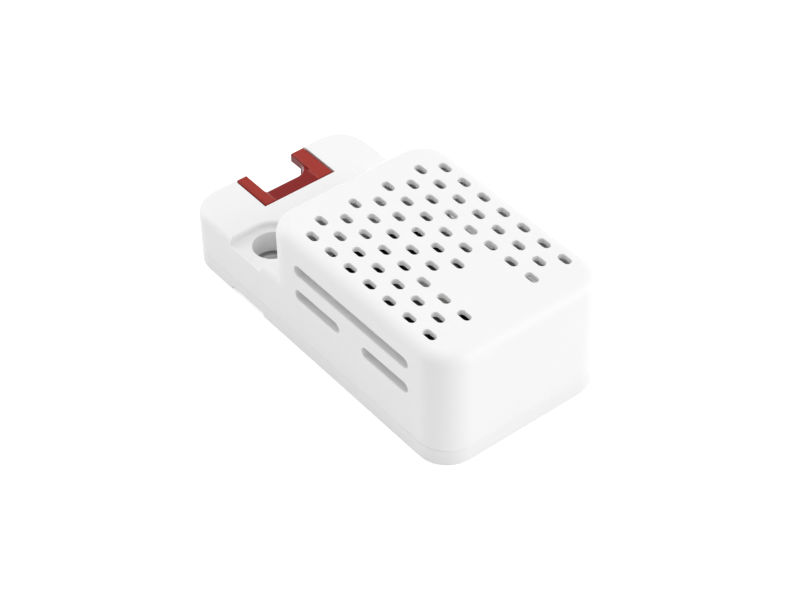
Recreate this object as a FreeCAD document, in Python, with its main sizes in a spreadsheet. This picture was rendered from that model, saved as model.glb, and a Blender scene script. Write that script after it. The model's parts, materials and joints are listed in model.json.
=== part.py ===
import FreeCAD, Part
import math
import os
import re
import Sketcher

# Carbon dioxide sensor module: a two-level moulded case with a vented sensor end,
# two pin holes for building bricks and a four-way socket at the low end.
# Millimetres. Origin under the middle of the case, on the surface that it stands on.
# +X towards the tall sensor end, -X towards the socket, +Z up.

doc = FreeCAD.newDocument("CarbonDioxideSensor")

# Driving dimensions
SIZES = [
    # case outside
    ("body_length", 48.0, "whole case along X"),
    ("body_width", 24.0, "whole case along Y"),
    ("tall_height", 16.0, "top of the sensor end"),
    ("low_height", 8.0, "top of the socket end"),
    ("tall_length", 32.0, "sensor end along X"),
    ("corner_radius", 4.0, "upright corners of both levels"),
    ("tall_edge_radius", 1.75, "rounding round the upper roof"),
    ("low_edge_radius", 1.0, "rounding round the lower roof"),
    ("base_edge", 0.3, "bevel round the underside"),
    ("parting_height", 2.3, "joint between cover and housing"),
    # case walls
    ("wall", 1.5, "side walls of both shells"),
    ("grille_roof", 0.8, "roof of the sensor end, thin at the vents"),
    ("low_roof", 1.5, "roof of the socket end"),
    ("cover_floor", 1.2, "floor of the cover"),
    ("tongue_width", 0.7, "tongue of the cover inside the wall"),
    ("tongue_height", 0.5, "tongue above the parting line"),
    ("fit_gap", 0.05, "gap on each side of pieces that fit together"),
    ("run_out", 1.0, "cutters past the face that they open"),
    # roof vents, small slots in staggered rows
    ("vent_length", 1.68, "slot along X"),
    ("vent_width", 1.02, "slot along Y"),
    ("vent_corner", 0.3, "corners of a slot, cut at 45 degrees"),
    ("vent_pitch", 3.43, "slot to slot along a row"),
    ("vent_row_pitch", 2.385, "row to row along Y"),
    ("vent_stagger", 1.51, "shift of every second row"),
    ("vent_first", 6.23, "first full column from the face of the sensor end"),
    ("vent_columns", 7, "slots in an outer row"),
    ("vent_short_columns", 5, "slots in a middle row, short of the bare field"),
    # side vents
    ("side_vent_height", 1.5, "height of each side slot"),
    ("long_vent_length", 20.3, "upper side slot"),
    ("long_vent_level", 12.45, "middle of the upper side slot"),
    ("short_vent_length", 8.15, "lower side slots"),
    ("short_vent_level", 8.72, "middle of the lower side slots"),
    # pin holes of the 8 mm brick grid
    ("pin_hole_radius", 2.4, "bore for a brick pin"),
    ("pin_hole_inset", 12.0, "bore axis from the socket end"),
    ("pin_hole_side", 4.0, "bore axis from the side face"),
    ("pin_recess_radius", 3.05, "scoop round the bore"),
    ("pin_recess_depth", 1.1, "scoop in the lower roof"),
    ("foot_recess_depth", 0.7, "scoop in the underside"),
    ("scoop_floor", 1.2, "wall under the upper scoop"),
    ("sleeve_wall", 0.9, "tube round each bore"),
    ("sleeve_split", 3.9, "level where upper and lower tube meet"),
    ("sleeve_gap", 0.1, "joint between the two tubes"),
    # circuit board
    ("board_level", 1.6, "underside of the board"),
    ("board_thickness", 1.2, "board"),
    ("board_gap", 0.3, "board edge to wall"),
    # socket, a side entry header with 2 mm pitch
    ("header_width", 10.0, "socket along Y"),
    ("header_setback", 0.6, "mouth behind the end face"),
    ("header_top_length", 6.1, "red roof that shows"),
    ("header_length", 7.6, "whole socket along X"),
    ("header_side", 0.55, "side walls"),
    ("header_floor", 0.8, "floor"),
    ("header_roof", 1.25, "roof"),
    ("header_back", 2.1, "back wall that holds the contacts"),
    ("header_rear_gap", 0.2, "rear step to the roof of the case"),
    ("notch_length", 3.86, "cut-out of the socket roof from the mouth"),
    ("notch_near", 3.62, "cut-out edge on the -Y side"),
    ("notch_far", 3.12, "cut-out edge on the +Y side"),
    ("notch_near_corner", 0.3, "inner corner of the cut-out on the -Y side"),
    ("notch_far_corner", 0.9, "inner corner of the cut-out on the +Y side"),
    ("bridge_drop", 0.25, "step of the roof behind the cut-out"),
    ("window_gap", 0.06, "gap round the socket in its window"),
    ("contact_pitch", 2.0, "contact to contact"),
    ("contact_side", 0.5, "square contact wire"),
    ("contact_drop", 2.6, "contact axis below the lower roof"),
    ("contact_reach", 3.0, "contact tip in front of the back wall"),
    ("contact_foot", 1.3, "soldered foot behind the leg"),
    ("leg_gap", 0.1, "contact legs behind the back wall"),
    ("anchor_setback", 4.6, "middle of the anchor tabs behind the mouth"),
    ("anchor_length", 1.6, "anchor tab along X"),
    ("anchor_height", 1.8, "anchor tab on the side of the socket"),
    ("anchor_foot", 1.2, "anchor tab on the board"),
    ("sheet_metal", 0.15, "tabs and chip leads"),
    # screws at the sensor end, on the corner axes
    ("screw_radius", 1.2, "thread"),
    ("screw_head_radius", 2.3, "countersunk head"),
    ("screw_length", 7.0, "head to tip"),
    ("pilot_past_tip", 0.5, "hole past the tip of the screw"),
    ("screw_socket", 1.5, "hexagon across flats"),
    ("screw_socket_depth", 0.9, "hexagon depth"),
    ("boss_radius", 2.6, "screw boss"),
    ("rest_side", 2.0, "small square posts under the board"),
    # snap tabs at the socket end
    ("snap_inset", 6.0, "middle of the tabs from the socket end"),
    ("snap_length", 2.4, "tab along X"),
    ("snap_height", 2.5, "tab above the parting line"),
    ("snap_hook", 0.3, "hook of the tab"),
    ("snap_hook_height", 0.5, "hook along Z"),
    # gas sensor on the board
    ("sensor_side", 10.1, "square sensor"),
    ("sensor_height", 6.4, "sensor above its solder lands"),
    ("substrate_thickness", 0.9, "sensor base"),
    ("cap_wall", 0.25, "drawn metal cap"),
    ("cap_margin", 0.3, "cap inside the base edge"),
    ("cap_corner", 1.0, "upright corners of the cap"),
    ("cap_edge", 0.25, "bevel round the top of the cap"),
    ("port_length", 4.4, "gas port in the cap along X"),
    ("port_width", 2.2, "gas port in the cap along Y"),
    ("port_offset", 0.95, "gas port off the middle of the cap, to -Y"),
    ("membrane_margin", 0.4, "filter membrane past the port all round"),
    ("membrane_thickness", 0.15, "filter membrane"),
    ("land_side", 0.9, "square solder land"),
    ("land_pitch", 1.7, "land to land"),
    ("land_thickness", 0.1, "solder"),
    # pieces under the sensor cap
    ("emitter_side", 2.8, "infrared emitter"),
    ("emitter_height", 1.4, "infrared emitter"),
    ("microphone_length", 3.5, "microphone along X"),
    ("microphone_width", 2.6, "microphone along Y"),
    ("microphone_height", 1.0, "microphone"),
    ("control_side", 3.4, "control chip"),
    ("control_height", 0.8, "control chip"),
    ("humidity_side", 1.5, "humidity chip"),
    ("humidity_height", 0.5, "humidity chip"),
    ("inner_spread", 2.2, "pieces under the cap from its middle, each way"),
    # supply and signal parts on the board
    ("chip_past_pin", 7.0, "both small chips past the axes of the pin holes"),
    ("chip_side", 6.0, "both small chips from the side face"),
    ("chip_lift", 0.1, "chip above the board"),
    ("lead_reach", 0.6, "lead past the chip"),
    ("lead_shoulder", 0.3, "level run of a lead before its bend"),
    ("lead_width", 0.35, "lead along X"),
    ("regulator_length", 2.9, "regulator along X"),
    ("regulator_width", 1.6, "regulator along Y"),
    ("regulator_height", 1.1, "regulator"),
    ("regulator_pitch", 0.95, "regulator leads"),
    ("shifter_length", 2.1, "level shifter along X"),
    ("shifter_width", 1.3, "level shifter along Y"),
    ("shifter_height", 0.9, "level shifter"),
    ("shifter_pitch", 0.65, "level shifter leads"),
    ("capacitor_gap", 3.6, "sensor to the near ends of the capacitors"),
    ("capacitor_pitch", 3.0, "capacitor to capacitor"),
    ("capacitor_length", 1.6, "capacitor along X"),
    ("capacitor_width", 0.8, "capacitor along Y"),
    ("resistor_gap", 4.0, "socket to the near ends of the resistors"),
    ("resistor_pitch", 2.0, "resistor to resistor"),
    ("resistor_length", 1.6, "resistor along X"),
    ("resistor_width", 0.8, "resistor along Y"),
    ("resistor_height", 0.45, "resistor"),
    ("terminal_length", 0.3, "metal end of a resistor or capacitor"),
]

sheet = doc.addObject("Spreadsheet::Sheet", "Sizes")
for row, (alias, number, meaning) in enumerate(SIZES, start=1):
    sheet.set("A%d" % row, alias)
    sheet.set("B%d" % row, str(number))
    sheet.set("C%d" % row, meaning)
    sheet.setAlias("B%d" % row, alias)
doc.recompute()


ALIASES = [alias for alias, number, meaning in SIZES]


def bound(formula):
    """Name the sheet before each of its aliases in a formula."""
    return re.sub("[a-z_]+", lambda word: ("Sizes." if word[0] in ALIASES else "") + word[0], formula)


# Levels and places that several pieces share, as formulas of the sheet
LOW_END = "-body_length / 2"
TALL_END = "body_length / 2"
SIDE = "body_width / 2"
STEP = "(body_length / 2 - tall_length)"
TALL_MIDDLE = "(body_length / 2 - tall_length / 2)"
BOARD_TOP = "(board_level + board_thickness)"
PIN_X = "(pin_hole_inset - body_length / 2)"
PIN_Y = "(body_width / 2 - pin_hole_side)"
SLEEVE = "(pin_hole_radius + sleeve_wall)"
CORNER_X = "(body_length / 2 - corner_radius)"
CORNER_Y = "(body_width / 2 - corner_radius)"
MOUTH = "(header_setback - body_length / 2)"
WINDOW_END = "(header_setback + header_top_length - body_length / 2)"
HEADER_REAR = "(header_setback + header_length - body_length / 2)"
CONTACT_Z = "(low_height - contact_drop)"
BOSS_TOP = "(short_vent_level - side_vent_height / 2)"
SNAP_X = "(snap_inset - body_length / 2)"
SENSOR_BASE = "(board_level + board_thickness + land_thickness)"
CAPACITOR_X = "(" + TALL_MIDDLE + " - sensor_side / 2 - capacitor_gap - capacitor_length / 2)"
RESISTOR_X = "(" + HEADER_REAR + " + resistor_gap + resistor_length / 2)"


def worth(holder, formula):
    return float(holder.evalExpression(bound(formula)))


def bind(holder, name, formula):
    holder.setExpression(name, bound(formula))


def new_body(label):
    body = doc.addObject("PartDesign::Body", label)
    body.Label = label
    return body


def new_sketch(body, name, plane="XY_Plane", level=None):
    sketch = body.newObject("Sketcher::SketchObject", name)
    support = [item for item in body.Origin.OriginFeatures if item.Role == plane][0]
    sketch.AttachmentSupport = [(support, "")]
    sketch.MapMode = "FlatFace"
    if level is not None:
        bind(sketch, "AttachmentOffset.Base.z", level)
    doc.recompute()
    return sketch


def dimension(sketch, kind, references, formula):
    """A driving dimension whose value comes from the sheet."""
    index = sketch.addConstraint(Sketcher.Constraint(kind, *references, worth(sketch, formula)))
    bind(sketch, "Constraints[%d]" % index, formula)


def place(sketch, geometry, point, x=None, y=None):
    """Dimension a point from the sketch origin."""
    if x is not None:
        dimension(sketch, "DistanceX", (-1, 1, geometry, point), x)
    if y is not None:
        dimension(sketch, "DistanceY", (-1, 1, geometry, point), y)


def line(sketch, start, end):
    return sketch.addGeometry(Part.LineSegment(FreeCAD.Vector(*start), FreeCAD.Vector(*end)), False)


def arc(sketch, centre, radius, start_degrees, end_degrees):
    circle = Part.Circle(FreeCAD.Vector(*centre), FreeCAD.Vector(0, 0, 1), radius)
    ends = math.radians(start_degrees), math.radians(end_degrees)
    return sketch.addGeometry(Part.ArcOfCircle(circle, *ends), False)


def add_circle(sketch, x, y, radius):
    centre = FreeCAD.Vector(worth(sketch, x), worth(sketch, y), 0)
    ring = sketch.addGeometry(Part.Circle(centre, FreeCAD.Vector(0, 0, 1), worth(sketch, radius)), False)
    place(sketch, ring, 3, x, y)
    dimension(sketch, "Radius", (ring,), radius)


def add_polygon(sketch, corners):
    """A closed outline of upright and level lines through the given corners."""
    points = [(worth(sketch, x), worth(sketch, y), 0) for x, y in corners]
    count = len(points)
    sides = [line(sketch, points[k], points[(k + 1) % count]) for k in range(count)]
    for k in range(count):
        sketch.addConstraint(Sketcher.Constraint("Coincident", sides[k], 2, sides[(k + 1) % count], 1))
    for k in range(count):
        level = abs(points[k][1] - points[(k + 1) % count][1]) < 1e-9
        sketch.addConstraint(Sketcher.Constraint("Horizontal" if level else "Vertical", sides[k]))
        # A level side takes its height, an upright side its place along X
        if level:
            place(sketch, sides[k], 1, y=corners[k][1])
        else:
            place(sketch, sides[k], 1, x=corners[k][0])


def add_rectangle(sketch, x_low, x_high, y_low, y_high):
    add_polygon(sketch, [(x_low, y_low), (x_high, y_low), (x_high, y_high), (x_low, y_high)])


def add_square(sketch, x, y, side):
    half = side + " / 2"
    add_rectangle(sketch, x + " - " + half, x + " + " + half, y + " - " + half, y + " + " + half)


def add_rounded_rectangle(sketch, x_low, x_high, y_low, y_high, radius):
    """Four sides and four corner arcs of one radius."""
    x0, x1 = worth(sketch, x_low), worth(sketch, x_high)
    y0, y1 = worth(sketch, y_low), worth(sketch, y_high)
    r = worth(sketch, radius)
    sides = [
        line(sketch, (x0 + r, y0, 0), (x1 - r, y0, 0)),
        line(sketch, (x1, y0 + r, 0), (x1, y1 - r, 0)),
        line(sketch, (x1 - r, y1, 0), (x0 + r, y1, 0)),
        line(sketch, (x0, y1 - r, 0), (x0, y0 + r, 0)),
    ]
    corners = [
        arc(sketch, (x1 - r, y0 + r, 0), r, 270, 360),
        arc(sketch, (x1 - r, y1 - r, 0), r, 0, 90),
        arc(sketch, (x0 + r, y1 - r, 0), r, 90, 180),
        arc(sketch, (x0 + r, y0 + r, 0), r, 180, 270),
    ]
    for k in range(4):
        sketch.addConstraint(Sketcher.Constraint("Tangent", sides[k], 2, corners[k], 1))
        sketch.addConstraint(Sketcher.Constraint("Tangent", corners[k], 2, sides[(k + 1) % 4], 1))
        sketch.addConstraint(Sketcher.Constraint("Vertical" if k % 2 else "Horizontal", sides[k]))
        if k:
            sketch.addConstraint(Sketcher.Constraint("Equal", corners[0], corners[k]))
    place(sketch, sides[0], 1, y=y_low)
    place(sketch, sides[1], 1, x=x_high)
    place(sketch, sides[2], 1, y=y_high)
    place(sketch, sides[3], 1, x=x_low)
    dimension(sketch, "Radius", (corners[0],), radius)


def add_inset_outline(sketch, x_low, x_high, inset):
    """The case's rounded plan between two ends, drawn in by an inset all round."""
    add_rounded_rectangle(
        sketch,
        x_low + " + " + inset,
        x_high + " - (" + inset + ")",
        "-body_width / 2 + " + inset,
        "body_width / 2 - (" + inset + ")",
        "corner_radius - (" + inset + ")",
    )


def add_slot(sketch, x, y, length, width):
    """A slot with round ends along the sketch's X axis."""
    half = "(" + length + " - " + width + ") / 2"
    ends = [worth(sketch, x + " - " + half), worth(sketch, x + " + " + half)]
    middle = worth(sketch, y)
    radius = worth(sketch, width) / 2
    left = arc(sketch, (ends[0], middle, 0), radius, 90, 270)
    bottom = line(sketch, (ends[0], middle - radius, 0), (ends[1], middle - radius, 0))
    right = arc(sketch, (ends[1], middle, 0), radius, -90, 90)
    top = line(sketch, (ends[1], middle + radius, 0), (ends[0], middle + radius, 0))
    sketch.addConstraint(Sketcher.Constraint("Tangent", left, 2, bottom, 1))
    sketch.addConstraint(Sketcher.Constraint("Tangent", bottom, 2, right, 1))
    sketch.addConstraint(Sketcher.Constraint("Tangent", right, 2, top, 1))
    sketch.addConstraint(Sketcher.Constraint("Tangent", top, 2, left, 1))
    sketch.addConstraint(Sketcher.Constraint("Equal", left, right))
    sketch.addConstraint(Sketcher.Constraint("Horizontal", bottom))
    place(sketch, left, 3, x=x + " - " + half)
    place(sketch, right, 3, x=x + " + " + half)
    place(sketch, left, 3, y=y)
    dimension(sketch, "Radius", (left,), width + " / 2")


def add_vent(sketch, x, y):
    """One roof vent: a small slot whose four corners are cut at 45 degrees."""
    x0, x1 = (worth(sketch, x + sign + "vent_length / 2") for sign in (" - ", " + "))
    y0, y1 = (worth(sketch, y + sign + "vent_width / 2") for sign in (" - ", " + "))
    cut = worth(sketch, "vent_corner")
    points = [
        (x0 + cut, y0, 0), (x1 - cut, y0, 0), (x1, y0 + cut, 0), (x1, y1 - cut, 0),
        (x1 - cut, y1, 0), (x0 + cut, y1, 0), (x0, y1 - cut, 0), (x0, y0 + cut, 0),
    ]
    sides = [line(sketch, points[k], points[(k + 1) % 8]) for k in range(8)]
    for k in range(8):
        sketch.addConstraint(Sketcher.Constraint("Coincident", sides[k], 2, sides[(k + 1) % 8], 1))
    bottom, first_cut, right, second_cut, top, third_cut, left, fourth_cut = sides
    for side in (bottom, top):
        sketch.addConstraint(Sketcher.Constraint("Horizontal", side))
    for side in (left, right):
        sketch.addConstraint(Sketcher.Constraint("Vertical", side))
    sketch.addConstraint(Sketcher.Constraint("Angle", first_cut, math.radians(45)))
    sketch.addConstraint(Sketcher.Constraint("Perpendicular", first_cut, second_cut))
    sketch.addConstraint(Sketcher.Constraint("Parallel", first_cut, third_cut))
    sketch.addConstraint(Sketcher.Constraint("Parallel", second_cut, fourth_cut))
    for other in (second_cut, third_cut, fourth_cut):
        sketch.addConstraint(Sketcher.Constraint("Equal", first_cut, other))
    place(sketch, left, 1, x=x + " - vent_length / 2")
    place(sketch, right, 1, x=x + " + vent_length / 2")
    place(sketch, bottom, 1, y=y + " - vent_width / 2")
    place(sketch, top, 1, y=y + " + vent_width / 2")
    place(sketch, bottom, 2, x=x + " + vent_length / 2 - vent_corner")


def add_scoop(sketch, side, radius, outer):
    """A half circle round a pin hole that runs straight out towards the side face."""
    x = worth(sketch, PIN_X)
    y = side * worth(sketch, PIN_Y)
    r = worth(sketch, radius)
    out = side * worth(sketch, outer)
    if side < 0:
        bend = arc(sketch, (x, y, 0), r, 0, 180)
        first, second = x - r, x + r
    else:
        bend = arc(sketch, (x, y, 0), r, 180, 360)
        first, second = x + r, x - r
    down = line(sketch, (first, y, 0), (first, out, 0))
    across = line(sketch, (first, out, 0), (second, out, 0))
    back = line(sketch, (second, out, 0), (second, y, 0))
    sketch.addConstraint(Sketcher.Constraint("Tangent", bend, 2, down, 1))
    sketch.addConstraint(Sketcher.Constraint("Coincident", down, 2, across, 1))
    sketch.addConstraint(Sketcher.Constraint("Coincident", across, 2, back, 1))
    sketch.addConstraint(Sketcher.Constraint("Tangent", back, 2, bend, 1))
    sketch.addConstraint(Sketcher.Constraint("Vertical", down))
    sketch.addConstraint(Sketcher.Constraint("Vertical", back))
    sketch.addConstraint(Sketcher.Constraint("Horizontal", across))
    sign = "-" if side < 0 else ""
    place(sketch, bend, 3, x=PIN_X, y=sign + PIN_Y)
    place(sketch, down, 2, y=sign + "(" + outer + ")")
    dimension(sketch, "Radius", (bend,), radius)


def add_side_pairs(sketch, x, length, y_low, y_high):
    """The same rectangle on both sides of the middle plane."""
    ends = (x + " - (" + length + ") / 2", x + " + (" + length + ") / 2")
    add_rectangle(sketch, *ends, y_low, y_high)
    add_rectangle(sketch, *ends, "-(" + y_high + ")", "-(" + y_low + ")")


def pad(body, sketch, name, length, both_ways=False):
    feature = body.newObject("PartDesign::Pad", name)
    feature.Profile = sketch
    feature.Midplane = both_ways
    bind(feature, "Length", length)
    doc.recompute()
    return feature


def pocket(body, sketch, name, length=None, upwards=False, both_ways=False):
    """Cut a sketch's outline to a depth, or right through; the solid must get smaller."""
    before = body.Shape.Volume
    feature = body.newObject("PartDesign::Pocket", name)
    feature.Profile = sketch
    feature.Reversed = upwards
    feature.Midplane = both_ways
    if length is None:
        feature.Type = "ThroughAll"
    else:
        bind(feature, "Length", length)
    doc.recompute()
    if not feature.Shape.Volume < before - 1e-6:
        raise ValueError(name + " cuts nothing")
    return feature


def row_of(body, feature, name, role, length, occurrences):
    """Repeat a feature along one of the body's own axes."""
    axis = [item for item in body.Origin.OriginFeatures if item.Role == role][0]
    pattern = body.newObject("PartDesign::LinearPattern", name)
    pattern.Originals = [feature]
    pattern.Direction = (axis, [""])
    bind(pattern, "Length", length)
    bind(pattern, "Occurrences", occurrences)
    body.Tip = pattern
    doc.recompute()
    return pattern


def edges_at_level(feature, formula):
    """Names of the edges that lie wholly at one height."""
    level = worth(feature, formula)
    names = []
    for number, edge in enumerate(feature.Shape.Edges, start=1):
        box = edge.BoundBox
        if abs(box.ZMin - level) < 1e-4 and abs(box.ZMax - level) < 1e-4:
            names.append("Edge%d" % number)
    return names


def upright_edges(feature, x, y):
    """Names of the upright edges that pass through one point of the plan."""
    point = (worth(feature, x), worth(feature, y))
    names = []
    for number, edge in enumerate(feature.Shape.Edges, start=1):
        box = edge.BoundBox
        ends = (box.XMin - point[0], box.XMax - point[0], box.YMin - point[1], box.YMax - point[1])
        if all(abs(distance) < 1e-4 for distance in ends):
            names.append("Edge%d" % number)
    return names


def round_edges(body, feature, names, name, radius):
    fillet = body.newObject("PartDesign::Fillet", name)
    fillet.Base = (feature, names)
    bind(fillet, "Radius", radius)
    doc.recompute()
    return fillet


def bevel_edges(body, feature, names, name, width):
    bevel = body.newObject("PartDesign::Chamfer", name)
    bevel.Base = (feature, names)
    bind(bevel, "Size", width)
    doc.recompute()
    return bevel


def make_upper_housing():
    body = new_body("upper_housing")
    # The low level runs under the whole case, with its roof edge rounded
    sketch = new_sketch(body, "LowPlan", level="parting_height")
    add_inset_outline(sketch, LOW_END, TALL_END, "0")
    low = pad(body, sketch, "LowLevel", "low_height - parting_height")
    round_edges(body, low, edges_at_level(low, "low_height"), "LowRoofEdge", "low_edge_radius")
    # The tall level stands on it, rounded the same way
    sketch = new_sketch(body, "TallPlan", level="parting_height")
    add_inset_outline(sketch, STEP, TALL_END, "0")
    tall = pad(body, sketch, "TallLevel", "tall_height - parting_height")
    round_edges(body, tall, edges_at_level(tall, "tall_height"), "TallRoofEdge", "tall_edge_radius")
    # Hollow both levels from below
    sketch = new_sketch(body, "LowHollowPlan", level="parting_height")
    add_inset_outline(sketch, LOW_END, TALL_END, "wall")
    pocket(body, sketch, "LowHollow", "low_height - low_roof - parting_height", upwards=True)
    sketch = new_sketch(body, "TallHollowPlan", level="parting_height")
    add_inset_outline(sketch, STEP, TALL_END, "wall")
    pocket(body, sketch, "TallHollow", "tall_height - grille_roof - parting_height", upwards=True)
    # A rebate in the wall takes the tongue of the cover
    sketch = new_sketch(body, "RebatePlan", level="parting_height")
    add_inset_outline(sketch, LOW_END, TALL_END, "wall - tongue_width - fit_gap")
    pocket(body, sketch, "Rebate", "tongue_height + fit_gap", upwards=True)
    # Walls under the two scoops, and a tube round each pin hole
    sketch = new_sketch(body, "ScoopFloorPlan", level="low_height - pin_recess_depth - scoop_floor")
    for side in (-1, 1):
        add_scoop(sketch, side, "pin_recess_radius + sleeve_wall", SIDE + " - wall / 2")
    pad(body, sketch, "ScoopFloors", "scoop_floor")
    sketch = new_sketch(body, "TubePlan", level="sleeve_split")
    for sign in ("-", ""):
        add_circle(sketch, PIN_X, sign + PIN_Y, SLEEVE)
    pad(body, sketch, "Tubes", "low_height - pin_recess_depth - sleeve_split")
    # The cover's tubes need room in the side walls
    sketch = new_sketch(body, "TubeRoomPlan", level="parting_height")
    for sign in ("-", ""):
        add_circle(sketch, PIN_X, sign + PIN_Y, SLEEVE + " + fit_gap")
    pocket(body, sketch, "TubeRoom", "sleeve_split - parting_height", upwards=True)
    # Screw bosses on the corner axes of the sensor end
    sketch = new_sketch(body, "BossPlan", level=BOARD_TOP)
    for sign in ("-", ""):
        add_circle(sketch, CORNER_X, sign + CORNER_Y, "boss_radius")
    pad(body, sketch, "Bosses", BOSS_TOP + " - " + BOARD_TOP)
    sketch = new_sketch(body, "PilotPlan", level=BOARD_TOP)
    for sign in ("-", ""):
        add_circle(sketch, CORNER_X, sign + CORNER_Y, "screw_radius + fit_gap")
    pocket(body, sketch, "PilotHoles", "screw_length + pilot_past_tip - " + BOARD_TOP, upwards=True)
    # Room for the snap tabs of the cover, with a groove for each hook
    inner = SIDE + " - wall"
    outer = SIDE + " - wall + tongue_width + fit_gap"
    sketch = new_sketch(body, "SnapRoomPlan", level="parting_height")
    add_side_pairs(sketch, SNAP_X, "snap_length + 2 * fit_gap", inner, outer)
    pocket(body, sketch, "SnapRooms", "snap_height + fit_gap", upwards=True)
    groove_level = "parting_height + snap_height - snap_hook_height - fit_gap"
    sketch = new_sketch(body, "SnapGroovePlan", level=groove_level)
    add_side_pairs(sketch, SNAP_X, "snap_length + 2 * fit_gap", inner, outer + " + snap_hook")
    pocket(body, sketch, "SnapGrooves", "snap_hook_height + 2 * fit_gap", upwards=True)
    # Scoops and pin holes
    sketch = new_sketch(body, "ScoopPlan", level="low_height")
    for side in (-1, 1):
        add_scoop(sketch, side, "pin_recess_radius", SIDE + " + run_out")
    pocket(body, sketch, "Scoops", "pin_recess_depth")
    sketch = new_sketch(body, "PinHolePlan", level="low_height")
    for sign in ("-", ""):
        add_circle(sketch, PIN_X, sign + PIN_Y, "pin_hole_radius")
    pocket(body, sketch, "PinHoles")
    # Window in the roof and the end wall for the socket
    sketch = new_sketch(body, "WindowPlan", level="low_height")
    window_side = "header_width / 2 + window_gap"
    window_ends = (LOW_END + " - run_out", WINDOW_END + " + window_gap")
    add_rectangle(sketch, *window_ends, "-(" + window_side + ")", window_side)
    pocket(body, sketch, "SocketWindow", "low_height - parting_height + run_out")
    # Roof vents: the outer rows are full, the middle rows leave a bare field at the end
    first = "(" + STEP + " + vent_first)"
    sketch = new_sketch(body, "OuterVentPlan", level="tall_height")
    for rows, shift in ((4, ""), (3, " - vent_stagger"), (2, "")):
        for sign in ("-", ""):
            add_vent(sketch, first + shift, sign + "%d * vent_row_pitch" % rows)
    cut = pocket(body, sketch, "OuterVents", "grille_roof + run_out")
    row_of(body, cut, "OuterVentRows", "X_Axis", "vent_pitch * (vent_columns - 1)", "vent_columns")
    sketch = new_sketch(body, "MiddleVentPlan", level="tall_height")
    add_vent(sketch, first, "0")
    for sign in ("-", ""):
        add_vent(sketch, first + " - vent_stagger", sign + "vent_row_pitch")
    cut = pocket(body, sketch, "MiddleVents", "grille_roof + run_out")
    run = "vent_pitch * (vent_short_columns - 1)"
    row_of(body, cut, "MiddleVentRows", "X_Axis", run, "vent_short_columns")
    # Side vents through both long walls
    sketch = new_sketch(body, "SideVentPlan", plane="XZ_Plane")
    add_slot(sketch, TALL_MIDDLE, "long_vent_level", "long_vent_length", "side_vent_height")
    offset = "(long_vent_length - short_vent_length) / 2"
    for sign in (" - ", " + "):
        middle = TALL_MIDDLE + sign + offset
        add_slot(sketch, middle, "short_vent_level", "short_vent_length", "side_vent_height")
    pocket(body, sketch, "SideVents", "body_width + 2 * run_out", both_ways=True)


def make_lower_cover():
    body = new_body("lower_cover")
    sketch = new_sketch(body, "CoverPlan")
    add_inset_outline(sketch, LOW_END, TALL_END, "0")
    plate = pad(body, sketch, "CoverPlate", "parting_height")
    bevel_edges(body, plate, edges_at_level(plate, "0"), "CoverEdge", "base_edge")
    # Tongue that enters the housing wall, then the hollow above the floor
    sketch = new_sketch(body, "TonguePlan", level="parting_height")
    add_inset_outline(sketch, LOW_END, TALL_END, "wall - tongue_width")
    pad(body, sketch, "Tongue", "tongue_height")
    sketch = new_sketch(body, "CoverHollowPlan", level="cover_floor")
    add_inset_outline(sketch, LOW_END, TALL_END, "wall")
    pocket(body, sketch, "CoverHollow", "parting_height + tongue_height", upwards=True)
    # A sill closes the gap under the socket
    sketch = new_sketch(body, "SillPlan", level="cover_floor")
    sill_side = "header_width / 2"
    add_rectangle(sketch, LOW_END + " + base_edge", LOW_END + " + wall", "-" + sill_side, sill_side)
    pad(body, sketch, "Sill", BOARD_TOP + " - cover_floor")
    # Snap tabs with a hook each
    inner = SIDE + " - wall"
    outer = SIDE + " - wall + tongue_width"
    sketch = new_sketch(body, "SnapTabPlan", level="cover_floor")
    add_side_pairs(sketch, SNAP_X, "snap_length", inner, outer)
    pad(body, sketch, "SnapTabs", "parting_height + snap_height - cover_floor")
    sketch = new_sketch(body, "SnapHookPlan", level="parting_height + snap_height - snap_hook_height")
    add_side_pairs(sketch, SNAP_X, "snap_length", inner, outer + " + snap_hook")
    pad(body, sketch, "SnapHooks", "snap_hook_height")
    # Lower half of the tubes, pads under the screws and rests under the socket end
    sketch = new_sketch(body, "LowerTubePlan")
    for sign in ("-", ""):
        add_circle(sketch, PIN_X, sign + PIN_Y, SLEEVE)
    pad(body, sketch, "LowerTubes", "sleeve_split - sleeve_gap")
    sketch = new_sketch(body, "RestPlan", level="cover_floor / 2")
    for sign in ("-", ""):
        add_circle(sketch, CORNER_X, sign + CORNER_Y, "boss_radius")
        add_square(sketch, WINDOW_END, sign + "(header_width / 4)", "rest_side")
        add_square(sketch, TALL_MIDDLE + " - tall_length / 4", sign + PIN_Y, "rest_side")
    pad(body, sketch, "BoardRests", "board_level - cover_floor / 2")
    # Pin holes with a scoop round each on the underside
    sketch = new_sketch(body, "LowerPinHolePlan", level="sleeve_split")
    for sign in ("-", ""):
        add_circle(sketch, PIN_X, sign + PIN_Y, "pin_hole_radius")
    pocket(body, sketch, "LowerPinHoles")
    sketch = new_sketch(body, "FootScoopPlan")
    for side in (-1, 1):
        add_scoop(sketch, side, "pin_recess_radius", SIDE + " + run_out")
    pocket(body, sketch, "FootScoops", "foot_recess_depth", upwards=True)
    # Countersunk screw holes
    sketch = new_sketch(body, "ScrewHolePlan", level="parting_height")
    for sign in ("-", ""):
        add_circle(sketch, CORNER_X, sign + CORNER_Y, "screw_radius + fit_gap")
    holes = pocket(body, sketch, "ScrewHoles")
    rims = []
    for number, edge in enumerate(holes.Shape.Edges, start=1):
        box = edge.BoundBox
        at_floor = abs(box.ZMax) < 1e-4
        small = abs(box.XLength - worth(body, "2 * (screw_radius + fit_gap)")) < 1e-3
        if at_floor and small:
            rims.append("Edge%d" % number)
    bevel_edges(body, holes, rims, "Countersinks", "screw_head_radius - screw_radius")


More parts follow.
